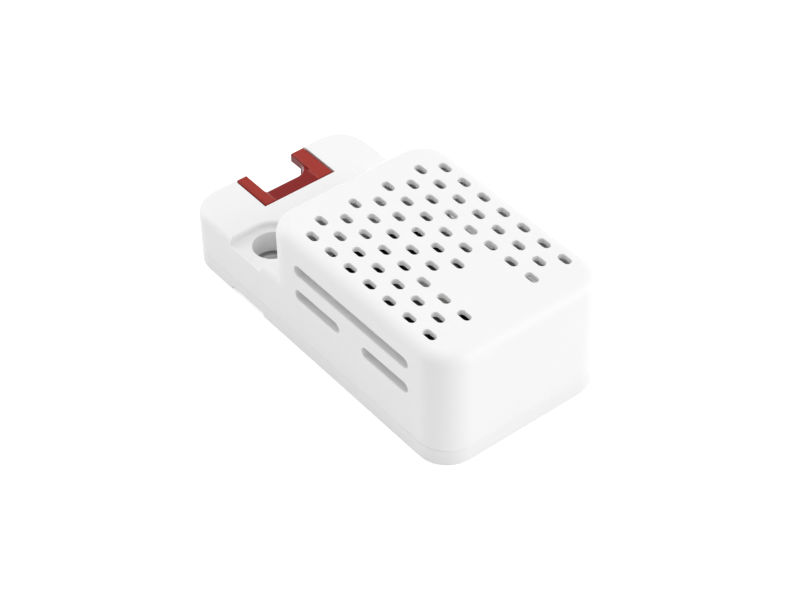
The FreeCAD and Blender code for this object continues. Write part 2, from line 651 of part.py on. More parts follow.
def make_circuit_board():
    body = new_body("circuit_board")
    sketch = new_sketch(body, "BoardPlan", level="board_level")
    add_inset_outline(sketch, LOW_END, TALL_END, "wall + board_gap")
    pad(body, sketch, "Board", "board_thickness")
    sketch = new_sketch(body, "ScallopPlan", level=BOARD_TOP)
    for sign in ("-", ""):
        add_circle(sketch, PIN_X, sign + PIN_Y, SLEEVE + " + board_gap")
        add_circle(sketch, CORNER_X, sign + CORNER_Y, "screw_radius + board_gap / 2")
    pocket(body, sketch, "Scallops")


def make_header_housing():
    body = new_body("header_housing")
    side = "header_width / 2"
    # Full height where it shows, one step lower under the roof of the case
    sketch = new_sketch(body, "SocketPlan", level=BOARD_TOP)
    add_rectangle(sketch, MOUTH, WINDOW_END, "-" + side, side)
    pad(body, sketch, "SocketBlock", "low_height - " + BOARD_TOP)
    sketch = new_sketch(body, "RearPlan", level=BOARD_TOP)
    add_rectangle(sketch, WINDOW_END + " - header_back", HEADER_REAR, "-" + side, side)
    pad(body, sketch, "RearBlock", "low_height - low_roof - header_rear_gap - " + BOARD_TOP)
    # The step behind the cut-out, then the cut-out in the roof
    sketch = new_sketch(body, "BridgePlan", level="low_height")
    add_rectangle(sketch, MOUTH, WINDOW_END + " + run_out", "-notch_near", "notch_far")
    pocket(body, sketch, "Bridge", "bridge_drop")
    sketch = new_sketch(body, "NotchPlan", level="low_height")
    add_rectangle(sketch, MOUTH + " - run_out", MOUTH + " + notch_length", "-notch_near", "notch_far")
    notch = pocket(body, sketch, "Notch", "header_roof + run_out")
    back_edge = MOUTH + " + notch_length"
    near = round_edges(
        body, notch, upright_edges(notch, back_edge, "-notch_near"), "NearCorner", "notch_near_corner"
    )
    round_edges(body, near, upright_edges(near, back_edge, "notch_far"), "FarCorner", "notch_far_corner")
    # The cavity that takes the plug
    sketch = new_sketch(body, "CavityPlan", level="low_height - header_roof")
    inner = "(header_width / 2 - header_side)"
    add_rectangle(sketch, MOUTH + " - run_out", HEADER_REAR + " - header_back", "-" + inner, inner)
    pocket(body, sketch, "Cavity", "low_height - header_roof - header_floor - " + BOARD_TOP)
    # Slits in the back wall hold the contacts
    sketch = new_sketch(body, "SlitPlan", plane="YZ_Plane", level=HEADER_REAR)
    for place_in_row in (-1.5, -0.5, 0.5, 1.5):
        middle = "%s * contact_pitch" % place_in_row
        half = "contact_side / 2"
        middle_ends = (middle + " - " + half, middle + " + " + half)
        add_rectangle(sketch, *middle_ends, CONTACT_Z + " - " + half, CONTACT_Z + " + " + half)
    pocket(body, sketch, "Slits", "header_back + run_out")


def make_header_contacts():
    """Four bent contact wires: straight through the back wall, down and soldered behind it."""
    body = new_body("header_contacts")
    sketch = new_sketch(body, "ContactSide", plane="XZ_Plane")
    half = "contact_side / 2"
    leg = HEADER_REAR + " + leg_gap"
    add_polygon(sketch, [
        (HEADER_REAR + " - header_back - contact_reach", CONTACT_Z + " - " + half),
        (leg, CONTACT_Z + " - " + half),
        (leg, BOARD_TOP),
        (leg + " + contact_side + contact_foot", BOARD_TOP),
        (leg + " + contact_side + contact_foot", BOARD_TOP + " + " + half),
        (leg + " + contact_side", BOARD_TOP + " + " + half),
        (leg + " + contact_side", CONTACT_Z + " + " + half),
        (HEADER_REAR + " - header_back - contact_reach", CONTACT_Z + " + " + half),
    ])
    wire = pad(body, sketch, "Contact", "contact_side", both_ways=True)
    row_of(body, wire, "ContactRow", "Y_Axis", "3 * contact_pitch", "4")
    bind(body, "Placement.Base.y", "-1.5 * contact_pitch")
    doc.recompute()


def make_header_anchors():
    """Two bent tabs that hold the socket's sides down on the board."""
    body = new_body("header_anchor_tabs")
    sketch = new_sketch(body, "AnchorEnd", plane="YZ_Plane", level=MOUTH + " + anchor_setback")
    for sign in ("-", ""):
        face = sign + "(header_width / 2)"
        skin = sign + "(header_width / 2 + sheet_metal)"
        toe = sign + "(header_width / 2 + anchor_foot)"
        add_polygon(sketch, [
            (face, BOARD_TOP),
            (toe, BOARD_TOP),
            (toe, BOARD_TOP + " + sheet_metal"),
            (skin, BOARD_TOP + " + sheet_metal"),
            (skin, BOARD_TOP + " + anchor_height"),
            (face, BOARD_TOP + " + anchor_height"),
        ])
    pad(body, sketch, "Anchors", "anchor_length", both_ways=True)


def make_case_screw():
    """One countersunk screw with a hexagon socket, head down, at the first corner axis."""
    body = new_body("screw_blank")
    sketch = new_sketch(body, "ScrewSide", plane="XZ_Plane")
    recess = "fit_gap"
    head_height = recess + " + screw_head_radius - screw_radius"
    points = [
        ("0", recess),
        ("screw_head_radius", recess),
        ("screw_radius", head_height),
        ("screw_radius", "screw_length"),
        ("0", "screw_length"),
    ]
    corners = [(worth(sketch, x), worth(sketch, z), 0) for x, z in points]
    sides = [line(sketch, corners[k], corners[(k + 1) % 5]) for k in range(5)]
    for k in range(5):
        sketch.addConstraint(Sketcher.Constraint("Coincident", sides[k], 2, sides[(k + 1) % 5], 1))
    sketch.addConstraint(Sketcher.Constraint("PointOnObject", sides[0], 1, -2))
    sketch.addConstraint(Sketcher.Constraint("PointOnObject", sides[4], 1, -2))
    sketch.addConstraint(Sketcher.Constraint("Horizontal", sides[0]))
    sketch.addConstraint(Sketcher.Constraint("Horizontal", sides[3]))
    sketch.addConstraint(Sketcher.Constraint("Vertical", sides[2]))
    place(sketch, sides[0], 1, y=recess)
    place(sketch, sides[1], 1, x="screw_head_radius")
    place(sketch, sides[2], 1, x="screw_radius", y=head_height)
    place(sketch, sides[3], 1, y="screw_length")
    turn = body.newObject("PartDesign::Revolution", "ScrewTurn")
    turn.Profile = sketch
    turn.ReferenceAxis = (sketch, ["V_Axis"])
    turn.Angle = 360
    doc.recompute()
    sketch = new_sketch(body, "HexPlan")
    make_hexagon(sketch, "screw_socket")
    pocket(body, sketch, "HexSocket", "screw_socket_depth + " + recess, upwards=True)
    bind(body, "Placement.Base.x", CORNER_X)
    bind(body, "Placement.Base.y", CORNER_Y)
    doc.recompute()
    return body


def make_hexagon(sketch, across_flats):
    """A regular hexagon round the origin with two flats parallel to X."""
    reach = worth(sketch, across_flats) / 3 ** 0.5
    half = worth(sketch, across_flats) / 2
    corners = [
        (reach, 0), (reach / 2, half), (-reach / 2, half),
        (-reach, 0), (-reach / 2, -half), (reach / 2, -half),
    ]
    sides = [line(sketch, corners[k] + (0,), corners[(k + 1) % 6] + (0,)) for k in range(6)]
    guide = sketch.addGeometry(
        Part.Circle(FreeCAD.Vector(0, 0, 0), FreeCAD.Vector(0, 0, 1), reach), True
    )
    sketch.addConstraint(Sketcher.Constraint("Coincident", guide, 3, -1, 1))
    for k in range(6):
        sketch.addConstraint(Sketcher.Constraint("Coincident", sides[k], 2, sides[(k + 1) % 6], 1))
        sketch.addConstraint(Sketcher.Constraint("PointOnObject", sides[k], 1, guide))
        if k:
            sketch.addConstraint(Sketcher.Constraint("Equal", sides[0], sides[k]))
    sketch.addConstraint(Sketcher.Constraint("Horizontal", sides[1]))
    dimension(sketch, "Radius", (guide,), across_flats + " / sqrt(3)")


def make_case_screws():
    """Both screws as one group: the first and its mirror image across the middle plane."""
    screw = make_case_screw()
    twin = doc.addObject("Part::Mirroring", "screw_twin")
    twin.Source = screw
    twin.Base = FreeCAD.Vector(0, 0, 0)
    twin.Normal = FreeCAD.Vector(0, 1, 0)
    return new_group("case_screws", [screw, twin])


def new_group(label, members):
    group = doc.addObject("Part::Compound", label)
    group.Label = label
    group.Links = members
    doc.recompute()
    return group


def new_box(name, x, y, z, length, width, height):
    """A block centred on x and y, standing on z; all six are formulas."""
    box = doc.addObject("Part::Box", name)
    bind(box, "Length", length)
    bind(box, "Width", width)
    bind(box, "Height", height)
    bind(box, "Placement.Base.x", x + " - (" + length + ") / 2")
    bind(box, "Placement.Base.y", y + " - (" + width + ") / 2")
    bind(box, "Placement.Base.z", z)
    return box


def make_sensor():
    """The gas sensor: base, drawn metal cap with a gas port, filter membrane and chips inside."""
    half = "sensor_side / 2"
    base = new_body("sensor_substrate")
    sketch = new_sketch(base, "SubstratePlan", level=SENSOR_BASE)
    add_rectangle(sketch, TALL_MIDDLE + " - " + half, TALL_MIDDLE + " + " + half, "-" + half, half)
    pad(base, sketch, "Substrate", "substrate_thickness")

    cap = new_body("sensor_cap")
    cap_base = SENSOR_BASE + " + substrate_thickness"
    cap_half = "(sensor_side / 2 - cap_margin)"
    cap_height = "sensor_height - substrate_thickness"
    sketch = new_sketch(cap, "CapPlan", level=cap_base)
    cap_ends = (TALL_MIDDLE + " - " + cap_half, TALL_MIDDLE + " + " + cap_half)
    add_rounded_rectangle(sketch, *cap_ends, "-" + cap_half, cap_half, "cap_corner")
    block = pad(cap, sketch, "CapBlock", cap_height)
    rim = edges_at_level(block, cap_base + " + " + cap_height)
    bevel_edges(cap, block, rim, "CapEdge", "cap_edge")
    sketch = new_sketch(cap, "CapHollowPlan", level=cap_base)
    inner = "(sensor_side / 2 - cap_margin - cap_wall)"
    inner_ends = (TALL_MIDDLE + " - " + inner, TALL_MIDDLE + " + " + inner)
    add_rounded_rectangle(sketch, *inner_ends, "-" + inner, inner, "cap_corner - cap_wall")
    pocket(cap, sketch, "CapHollow", cap_height + " - cap_wall", upwards=True)
    sketch = new_sketch(cap, "PortPlan", level=cap_base + " + " + cap_height)
    port_ends = (TALL_MIDDLE + " - port_length / 2", TALL_MIDDLE + " + port_length / 2")
    add_rectangle(sketch, *port_ends, "-port_offset - port_width / 2", "-port_offset + port_width / 2")
    pocket(cap, sketch, "GasPort", "cap_wall + run_out")

    new_box(
        "sensor_membrane", TALL_MIDDLE, "-port_offset", cap_base + " + " + cap_height,
        "port_length + 2 * membrane_margin", "port_width + 2 * membrane_margin", "membrane_thickness",
    )

    # Solder lands along the four edges of the base
    lands = []
    edge_line = "(sensor_side / 2 - land_side / 2)"
    for number in range(-2, 3):
        along = "%d * land_pitch" % number
        for sign in ("-", ""):
            lands.append(new_box(
                "long_land", TALL_MIDDLE + " + " + along, sign + edge_line, BOARD_TOP,
                "land_side", "land_side / 2", "land_thickness",
            ))
            lands.append(new_box(
                "cross_land", TALL_MIDDLE + " + " + sign + edge_line, along, BOARD_TOP,
                "land_side / 2", "land_side", "land_thickness",
            ))
    new_group("sensor_solder_lands", lands)


def make_sensor_inside():
    """The emitter, microphone and chips that stand on the sensor base under its cap."""
    floor = SENSOR_BASE + " + substrate_thickness"
    low_x = TALL_MIDDLE + " - inner_spread"
    high_x = TALL_MIDDLE + " + inner_spread"
    new_box(
        "infrared_emitter", low_x, "inner_spread", floor, "emitter_side", "emitter_side", "emitter_height"
    )
    new_box(
        "microphone_capsule", high_x, "inner_spread", floor,
        "microphone_length", "microphone_width", "microphone_height",
    )
    new_box(
        "sensor_control_chip", low_x, "-inner_spread", floor,
        "control_side", "control_side", "control_height",
    )
    new_box(
        "humidity_sensor_chip", high_x, "-inner_spread", floor,
        "humidity_side", "humidity_side", "humidity_height",
    )


def make_leaded_chip(label, leads_label, name, sign):
    """A moulded chip on six bent leads, three along each long side."""
    x = "(" + PIN_X + " + chip_past_pin)"
    y = sign + "(body_width / 2 - chip_side)"
    body_base = BOARD_TOP + " + chip_lift"
    new_box(label, x, y, body_base, name + "_length", name + "_width", name + "_height")
    leads = new_body(leads_label)
    sketch = new_sketch(leads, "LeadSides", plane="YZ_Plane", level=x + " - " + name + "_pitch")
    top = "(" + BOARD_TOP + " + chip_lift + " + name + "_height / 2)"
    for side in (" - ", " + "):
        face = y + side + name + "_width / 2"
        bend = face + side + "lead_shoulder"
        heel = face + side + "(lead_shoulder - sheet_metal)"
        toe = face + side + "lead_reach"
        add_polygon(sketch, [
            (face, top),
            (bend, top),
            (bend, BOARD_TOP + " + sheet_metal"),
            (toe, BOARD_TOP + " + sheet_metal"),
            (toe, BOARD_TOP),
            (heel, BOARD_TOP),
            (heel, top + " - sheet_metal"),
            (face, top + " - sheet_metal"),
        ])
    lead = pad(leads, sketch, "Leads", "lead_width", both_ways=True)
    row_of(leads, lead, "LeadRow", "X_Axis", "2 * " + name + "_pitch", "3")


def make_two_ended(label, ends_label, name, x, rows, height):
    """Blocks with a metal terminal at each end, in a column across the board."""
    blocks = []
    ends = []
    for row in rows:
        y = "%s * %s_pitch" % (row, name)
        length = name + "_length"
        width = name + "_width"
        block_length = length + " - 2 * terminal_length"
        blocks.append(new_box(name + "_block", x, y, BOARD_TOP, block_length, width, height))
        for side in (" - ", " + "):
            end_x = x + side + "(" + length + " - terminal_length) / 2"
            ends.append(new_box(name + "_end", end_x, y, BOARD_TOP, "terminal_length", width, height))
    new_group(label, blocks)
    new_group(ends_label, ends)


make_upper_housing()
make_lower_cover()
make_circuit_board()
make_header_housing()
make_header_contacts()
make_header_anchors()
make_case_screws()
make_sensor()
make_sensor_inside()
make_leaded_chip("voltage_regulator", "regulator_leads", "regulator", "")
make_leaded_chip("level_shifter", "level_shifter_leads", "shifter", "-")
make_two_ended(
    "supply_capacitors", "capacitor_terminals", "capacitor",
    CAPACITOR_X, (-1, 0, 1), "capacitor_width",
)
make_two_ended(
    "pull_up_resistors", "resistor_terminals", "resistor",
    RESISTOR_X, (-1.5, -0.5, 0.5, 1.5), "resistor_height",
)
doc.recompute()

NODES = [
    "upper_housing", "lower_cover", "case_screws", "circuit_board",
    "header_housing", "header_contacts", "header_anchor_tabs",
    "sensor_substrate", "sensor_cap", "sensor_membrane", "sensor_solder_lands",
    "infrared_emitter", "microphone_capsule", "sensor_control_chip", "humidity_sensor_chip",
    "voltage_regulator", "regulator_leads", "level_shifter", "level_shifter_leads",
    "supply_capacitors", "capacitor_terminals", "pull_up_resistors", "resistor_terminals",
]

for item in doc.Objects:
    if "Invalid" in item.State or "Error" in item.State:
        raise ValueError("%s failed: %s" % (item.Name, item.State))

os.makedirs("parts", exist_ok=True)
for label in NODES:
    node = doc.getObjectsByLabel(label)[0]
    shape = node.Shape
    if shape.isNull() or not shape.isValid():
        raise ValueError(label + " has no valid shape")
    print("%-22s %3d solids %10.3f cubic mm" % (label, len(shape.Solids), shape.Volume))
    shape.exportStep("parts/" + label + ".step")
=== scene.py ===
import bmesh
import bpy
import json
import math
from mathutils import Matrix, Vector


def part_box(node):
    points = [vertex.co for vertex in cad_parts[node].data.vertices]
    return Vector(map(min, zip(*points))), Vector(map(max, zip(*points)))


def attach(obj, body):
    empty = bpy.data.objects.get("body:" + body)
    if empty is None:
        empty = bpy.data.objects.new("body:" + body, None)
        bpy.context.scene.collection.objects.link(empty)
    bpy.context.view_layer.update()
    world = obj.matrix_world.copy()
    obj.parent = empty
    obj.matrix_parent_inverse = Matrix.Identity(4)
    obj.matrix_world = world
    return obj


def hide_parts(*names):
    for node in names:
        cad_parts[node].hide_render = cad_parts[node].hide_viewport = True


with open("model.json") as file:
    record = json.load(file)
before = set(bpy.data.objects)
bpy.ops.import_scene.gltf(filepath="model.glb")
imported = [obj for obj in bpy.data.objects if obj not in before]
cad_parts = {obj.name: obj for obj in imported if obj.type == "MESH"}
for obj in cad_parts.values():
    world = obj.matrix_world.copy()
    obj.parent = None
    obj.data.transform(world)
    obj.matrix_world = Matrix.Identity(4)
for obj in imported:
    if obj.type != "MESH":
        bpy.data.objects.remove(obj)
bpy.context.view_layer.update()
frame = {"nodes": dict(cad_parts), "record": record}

# A carbon dioxide sensor module. Sizes are in millimetres, in the frame of the part: origin under the
# middle of the case, +X to the tall sensor end, -X to the socket, +Z up. A side is -1 or 1, for the half
# at -Y or at +Y. The order is sizes, outlines, meshes, materials, what repeats, the pieces, the studio.

# Case
LOW_END = -24.0
TALL_END = 24.0
STEP = -8.0
HALF_WIDTH = 12.0
CORNER = 4.0
PARTING = 2.3
LOW_TOP = 8.0
TALL_TOP = 16.0
WALL = 1.5
FIT = 0.05
EDGE = 0.1
LOW_TOP_EDGE = 1.0
TALL_TOP_EDGE = 1.75
BASE_EDGE = 0.25
LOW_ROOF = 1.5
ROOF_THICKNESS = 0.72
COVER_FLOOR = 1.2
# Where ribs of the cover start, inside its floor
COVER_ROOT = COVER_FLOOR - 0.2
TONGUE_WIDTH = 0.7
TONGUE_HEIGHT = 0.5

# How far a straight cutter, and one with a flared lip, runs past the face that it opens
PAST = 1.0
LIP_PAST = 0.6

# Roof slots: length and width of one, then the grid. Rows that lie less than VENT_SHORT_ROWS from the
# middle one end after VENT_SHORT_COLUMNS, where the roof stays plain.
VENT_SIZE = (1.86, 0.965)
VENT_SHIFT = 0.05
VENT_LIP = 0.09
VENT_ROWS = 9
VENT_COLUMNS = 7
VENT_SHORT_COLUMNS = 5
VENT_SHORT_ROWS = 2
VENT_COLUMN_PITCH = 3.43
VENT_ROW_PITCH = 2.385
VENT_STAGGER = 1.51
VENT_FIRST_X = -1.77

# Side slots: middle, level and length of each
SIDE_VENTS = ((8.0, 12.31, 20.2), (1.925, 8.66, 8.05), (14.075, 8.66, 8.05))
SIDE_VENT_HEIGHT = 1.46
SIDE_VENT_LIP = 0.16

# Pin holes, their scoops, and the two tubes that meet round each
PIN_HOLE = (-12.0, 8.0)
PIN_RADIUS = 2.4
PIN_LIP = 0.12
SCOOP_RADIUS = 3.05
SCOOP_DEPTH = 1.0
SCOOP_FLOOR = 1.2
SCOOP_RIM = 0.4
SCOOP_COVE = 0.45
SHELF_MARGIN = 0.9
FOOT_SCOOP_DEPTH = 0.7
FOOT_SCOOP_LIP = 0.6
TUBE_RADIUS = 3.3
TUBE_SPLIT = 3.9
TUBE_ABOVE = 0.1
TUBE_BELOW = 0.55
SLEEVE_LIP = 0.08

# Board and screws
BOARD_LOW = 1.6
BOARD_TOP = 2.8
BOARD_GAP = 0.3
SCREW = (20.0, 8.0)
SCREW_RADIUS = 1.2
SCREW_ROOT = 0.98
SCREW_END = 0.75
SCREW_PITCH = 0.8
SCREW_HEAD = 2.3
SCREW_NECK = 1.4
SCREW_POINT = 1.2
SCREW_TIP = 7.0
KEY_RADIUS = 0.866
KEY_DEPTH = 0.95
BOSS_RADIUS = 2.6
BOSS_TOP = 7.97

# Socket: body, cut-out in its roof, lowered bar behind the cut-out, and contacts
HEADER_HALF = 5.0
HEADER_MOUTH = -23.4
HEADER_WINDOW = -17.42
HEADER_REAR = -15.8
HEADER_REAR_TOP = 6.3
HEADER_BACK = 2.1
HEADER_SIDE = 0.55
HEADER_FLOOR = 0.8
HEADER_ROOF = 1.25
WINDOW_GAP = 0.18
WINDOW_LIP = 0.06
NOTCH_LENGTH = 3.7
NOTCH_SIDES = (-3.62, 3.12)
NOTCH_CORNERS = (0.3, 1.8)
BRIDGE_DROP = 0.25
BRIDGE_SLOPE = 0.4
BRIDGE_EDGE = 0.35
ARM_EDGE = 0.3
PAINTED_SHADE_AND_POLISH_BELOW = 7.8
CONTACT_LEVEL = 5.4
CONTACT_SIDE = 0.5
CONTACT_PITCH = 2.0
CONTACT_REACH = 3.0
CONTACT_TAPER = 0.45
CONTACT_FOOT = 1.3
LEG_GAP = 0.1

# Snap tabs of the cover
SNAP_LOW = -19.2
SNAP_HIGH = -16.8
SNAP_TOP = 4.8
SNAP_HOOK = 0.3
HOOK_HEIGHT = 0.5

# Gas sensor and the small parts beside it
SENSOR_X = 8.0
SENSOR_HALF = 5.05
SENSOR_BASE = 2.9
CAP_LOW = 3.8
CAP_TOP = 9.3
CAP_MARGIN = 0.3
CAP_WALL = 0.25
CAP_CORNER = 1.0
PORT_SIZE = (4.4, 2.2)
PORT_Y = -0.95
FILM_MARGINS = (1.2, 0.8)
FILM_THICKNESS = 0.15
LAND_SIDE = 0.9
LAND_PITCH = 1.7
LEAD_SHOULDER = 0.3
LEAD_REACH = 0.6
LEAD_WIDTH = 0.35
SHEET_METAL = 0.15

# Studio: the gap under the case, the floor's own glow for the eye, and the world's strength where it is
# seen and as light
FLOOR_DROP = 0.02
FLOOR_GLOW = 0.5
SKY_SEEN = 1.0
SKY_LIGHT = 0.61
# Name, place in metres, power in watts and side in metres
LAMPS = (
    ("key_softbox", (0.52, 0.37, 0.33), 1.98, 0.5),
    ("top_softbox", (-0.10, 0.08, 0.71), 0.78, 0.4),
    ("fill_softbox", (-0.59, -0.19, 0.36), 1.44, 0.5),
)
# The photograph's viewpoint, from its perspective: turn, height and roll in degrees, place in metres
CAMERA_ANGLES = (51.925, 42.383, -0.841)
CAMERA_PLACE = (0.15074, -0.11674, 0.17612)
CAMERA_LENS = 99.52


# Outlines: each gives the points of a closed curve, grown outwards by some millimetres


def corner_points(x, y, radius, start, steps):
    """Points of a quarter circle round (x, y), from a start angle in degrees."""
    angles = [math.radians(start + 90.0 * step / steps) for step in range(steps + 1)]
    return [(x + radius * math.cos(a), y + radius * math.sin(a)) for a in angles]


def rounded_rectangle(x_low, x_high, y_low, y_high, radius, steps=16):
    def outline(grown=0.0):
        r = radius + grown
        centres = [
            (x_high - radius, y_low + radius, 270),
            (x_high - radius, y_high - radius, 0),
            (x_low + radius, y_high - radius, 90),
            (x_low + radius, y_low + radius, 180),
        ]
        return [point for x, y, start in centres for point in corner_points(x, y, r, start, steps)]

    return outline


def centred_rectangle(x, y, length, width, radius, steps):
    return rounded_rectangle(x - length / 2, x + length / 2, y - width / 2, y + width / 2, radius, steps)


def slot(x, y, length, width, steps=10):
    """A slot along X with round ends, which stop a hair short of meeting."""
    return centred_rectangle(x, y, length, width, width / 2 - 1e-4, steps)


def rectangle(x_low, x_high, y_low, y_high):
    def outline(grown=0.0):
        return [
            (x_low - grown, y_low - grown),
            (x_high + grown, y_low - grown),
            (x_high + grown, y_high + grown),
            (x_low - grown, y_high + grown),
        ]

    return outline


def side_strip(x_low, x_high, side, inner, outer):
    """A rectangle between two distances from the middle line, on one side of it."""
    return rectangle(x_low, x_high, *sorted((side * inner, side * outer)))


def disc(x, y, radius, steps=64):
    def outline(grown=0.0):
        r = radius + grown
        angles = [math.tau * step / steps for step in range(steps)]
        return [(x + r * math.cos(a), y + r * math.sin(a)) for a in angles]

    return outline


def disc_round(place, side, radius, steps=64):
    """A circle round the pin hole or the screw on one side."""
    return disc(place[0], side * place[1], radius, steps)


def scoop_outline(side, radius, reach):
    """A half circle round a pin hole that runs straight out to the side face."""
    x, y = PIN_HOLE
    steps = 32

    def outline(grown=0.0):
        r = radius + grown
        angles = [math.pi * step / steps for step in range(steps + 1)]
        arc = [(x + r * math.cos(a), -side * r * math.sin(a) + side * y) for a in angles]
        return arc + [(x - r, side * reach), (x + r, side * reach)]

    return outline


def case_outline(x_low, inset=0.0):
    return rounded_rectangle(
        x_low + inset, TALL_END - inset, -HALF_WIDTH + inset, HALF_WIDTH - inset, CORNER - inset
    )


# Profiles: lists of (level, growth) that round an edge


def quarter_turns(steps):
    return [math.radians(90.0 * step / steps) for step in range(steps + 1)]


def rounding(face, radius, inwards, steps):
    """A rounded edge that ends at a face. inwards is the way from the face into the solid."""
    turns = quarter_turns(steps)
    return [(face + inwards * radius * (1 - math.sin(t)), -radius * (1 - math.cos(t))) for t in turns]


def flare(face, lip, out, steps=4):
    """A cutter that widens on its way out to a face, so that it leaves a rounded rim there."""
    turns = quarter_turns(steps)
    return [(face - out * lip * (1 - math.sin(t)), lip * (1 - math.cos(t))) for t in turns]


# Meshes


def add_object(name, data):
    made = bpy.data.objects.new(name, data)
    bpy.context.scene.collection.objects.link(made)
    return made


def skin(name, rings):
    """A closed mesh through rings of points, given in metres."""
    bm = bmesh.new()
    rings = [[bm.verts.new(point) for point in ring] for ring in rings]
    count = len(rings[0])
    for low, high in zip(rings, rings[1:]):
        for k in range(count):
            after = (k + 1) % count
            bm.faces.new((low[k], low[after], high[after], high[k]))
    bm.faces.new(rings[0][::-1])
    bm.faces.new(rings[-1])
    bmesh.ops.recalc_face_normals(bm, faces=bm.faces)
    mesh = bpy.data.meshes.new(name)
    bm.to_mesh(mesh)
    bm.free()
    return add_object(name, mesh)


def loft(name, outline, profile, sideways=False):
    """A skin through copies of an outline, one for each level of a profile, along Z or sideways along Y."""
    rings = []
    for level, grown in profile:
        if sideways:
            rings.append([(x / 1000, level / 1000, y / 1000) for x, y in outline(grown)])
        else:
            rings.append([(x / 1000, y / 1000, level / 1000) for x, y in outline(grown)])
    return skin(name, rings)


def block(name, outline, low, high, low_edge=0.0, high_edge=0.0, steps=5):
    """A solid between two levels, with either rim rounded."""
    start = rounding(low, low_edge, 1, steps)[::-1] if low_edge else [(low, 0.0)]
    end = rounding(high, high_edge, -1, steps) if high_edge else [(high, 0.0)]
    return loft(name, outline, start + end)


def cutter(outline, inner, face, lip=EDGE, sideways=False, past=LIP_PAST):
    """A cutter from inside the wall out past a face, flared at the face."""
    out = 1 if face > inner else -1
    profile = [(inner, 0.0)] + flare(face, lip, out) + [(face + out * past, lip)]
    return loft("cutter", outline, profile, sideways)


def bent_strip(name, points, width):
    """A strip bent to a side view, with its width along Y."""
    return loft(name, lambda grown: points, [(-width / 2, 0.0), (width / 2, 0.0)], sideways=True)


def settle(made):
    """Turn an object's modifiers into its plain mesh."""
    graph = bpy.context.evaluated_depsgraph_get()
    mesh = bpy.data.meshes.new_from_object(made.evaluated_get(graph))
    old = made.data
    made.modifiers.clear()
    made.data = mesh
    mesh.name = made.name
    bpy.data.meshes.remove(old)


def carve(body, tools, operation="DIFFERENCE"):
    for tool in tools:
        modifier = body.modifiers.new("carve", "BOOLEAN")
        modifier.operation = operation
        modifier.solver = "MANIFOLD"
        modifier.object = tool
    settle(body)
    for tool in tools:
        bpy.data.objects.remove(tool)
    return body


def soften(made, width):
    """Round every edge of a piece by a hair."""
    bevel = made.modifiers.new("edges", "BEVEL")
    bevel.width = width / 1000
    bevel.segments = 2
    bevel.limit_method = "ANGLE"
    bevel.angle_limit = math.radians(40)
    settle(made)
    return made


def smooth(made):
    """Soft normals across gentle bends, flat ones on large faces."""
    made.data.shade_smooth()
    made.data.set_sharp_from_angle(angle=math.radians(35))
    modifier = made.modifiers.new("weights", "WEIGHTED_NORMAL")
    modifier.keep_sharp = True
    modifier.weight = 100
    settle(made)


def dress(made, slot_name, material, *nodes):
    """Give a finished piece its material and its place on the frame, and hide the nodes that it stands for.
    """
    made.data.materials.clear()
    made.data.materials.append(material)
    smooth(made)
    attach(made, "root")
    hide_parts(*nodes)


# Node trees and materials


def add_node(tree, kind, inputs=None, **settings):
    """Add a node with its settings and links. A node given as an input stands for its first output."""
    node = tree.nodes.new(kind)
    for name, value in settings.items():
        setattr(node, name, value)
    for name, value in (inputs or {}).items():
        if isinstance(value, bpy.types.Node):
            value = value.outputs[0]
        if isinstance(value, bpy.types.NodeSocket):
            tree.links.new(value, node.inputs[name])
        else:
            node.inputs[name].default_value = value
    return node


def linear(hex_code):
    """An sRGB hex colour as linear red, green, blue and alpha."""
    parts = [int(hex_code[k:k + 2], 16) / 255 for k in (1, 3, 5)]
    return [p / 12.92 if p <= 0.04045 else ((p + 0.055) / 1.055) ** 2.4 for p in parts] + [1.0]


def per_mm(size):
    """Texture scale, in repeats per metre, of a feature some millimetres wide."""
    return 1000.0 / size


# A colour mix takes its colours at these inputs and gives one at this output
COLOUR_A = 6
COLOUR_B = 7
MIXED = 2


def new_material(name, shader_values):
    material = bpy.data.materials.new(name)
    material.use_nodes = True
    tree = material.node_tree
    tree.nodes.clear()
    shader = add_node(tree, "ShaderNodeBsdfPrincipled", shader_values)
    add_node(tree, "ShaderNodeOutputMaterial", {"Surface": shader})
    place = add_node(tree, "ShaderNodeTexCoord").outputs["Object"]
    return material, tree, shader, place


def make_white_case(name, deep, bright):
    # ABS, moulded in a spark-eroded tool: matt and faintly grained, almost white, never chalky
    material, tree, shader, place = new_material(name, {"IOR": 1.53})
    # The real grain is 0.03 mm; 0.12 mm is the finest that shows in the render
    grain = add_node(tree, "ShaderNodeTexNoise", {"Vector": place, "Scale": per_mm(0.12), "Detail": 1.0})
    # Where the melt met and cooled, the tone changes faintly over about 9 mm
    flow = add_node(tree, "ShaderNodeTexNoise", {"Vector": place, "Scale": per_mm(9.0), "Detail": 2.0})
    white = add_node(tree, "ShaderNodeMix", {
        "Factor": flow, COLOUR_A: linear(deep), COLOUR_B: linear(bright),
    }, data_type="RGBA")
    gloss = add_node(tree, "ShaderNodeMapRange", {"Value": grain, "To Min": 0.44, "To Max": 0.56})
    relief = add_node(tree, "ShaderNodeBump", {"Height": grain, "Distance": 0.004 / 1000})
    tree.links.new(white.outputs[MIXED], shader.inputs["Base Color"])
    tree.links.new(gloss.outputs[0], shader.inputs["Roughness"])
    tree.links.new(relief.outputs[0], shader.inputs["Normal"])
    return material


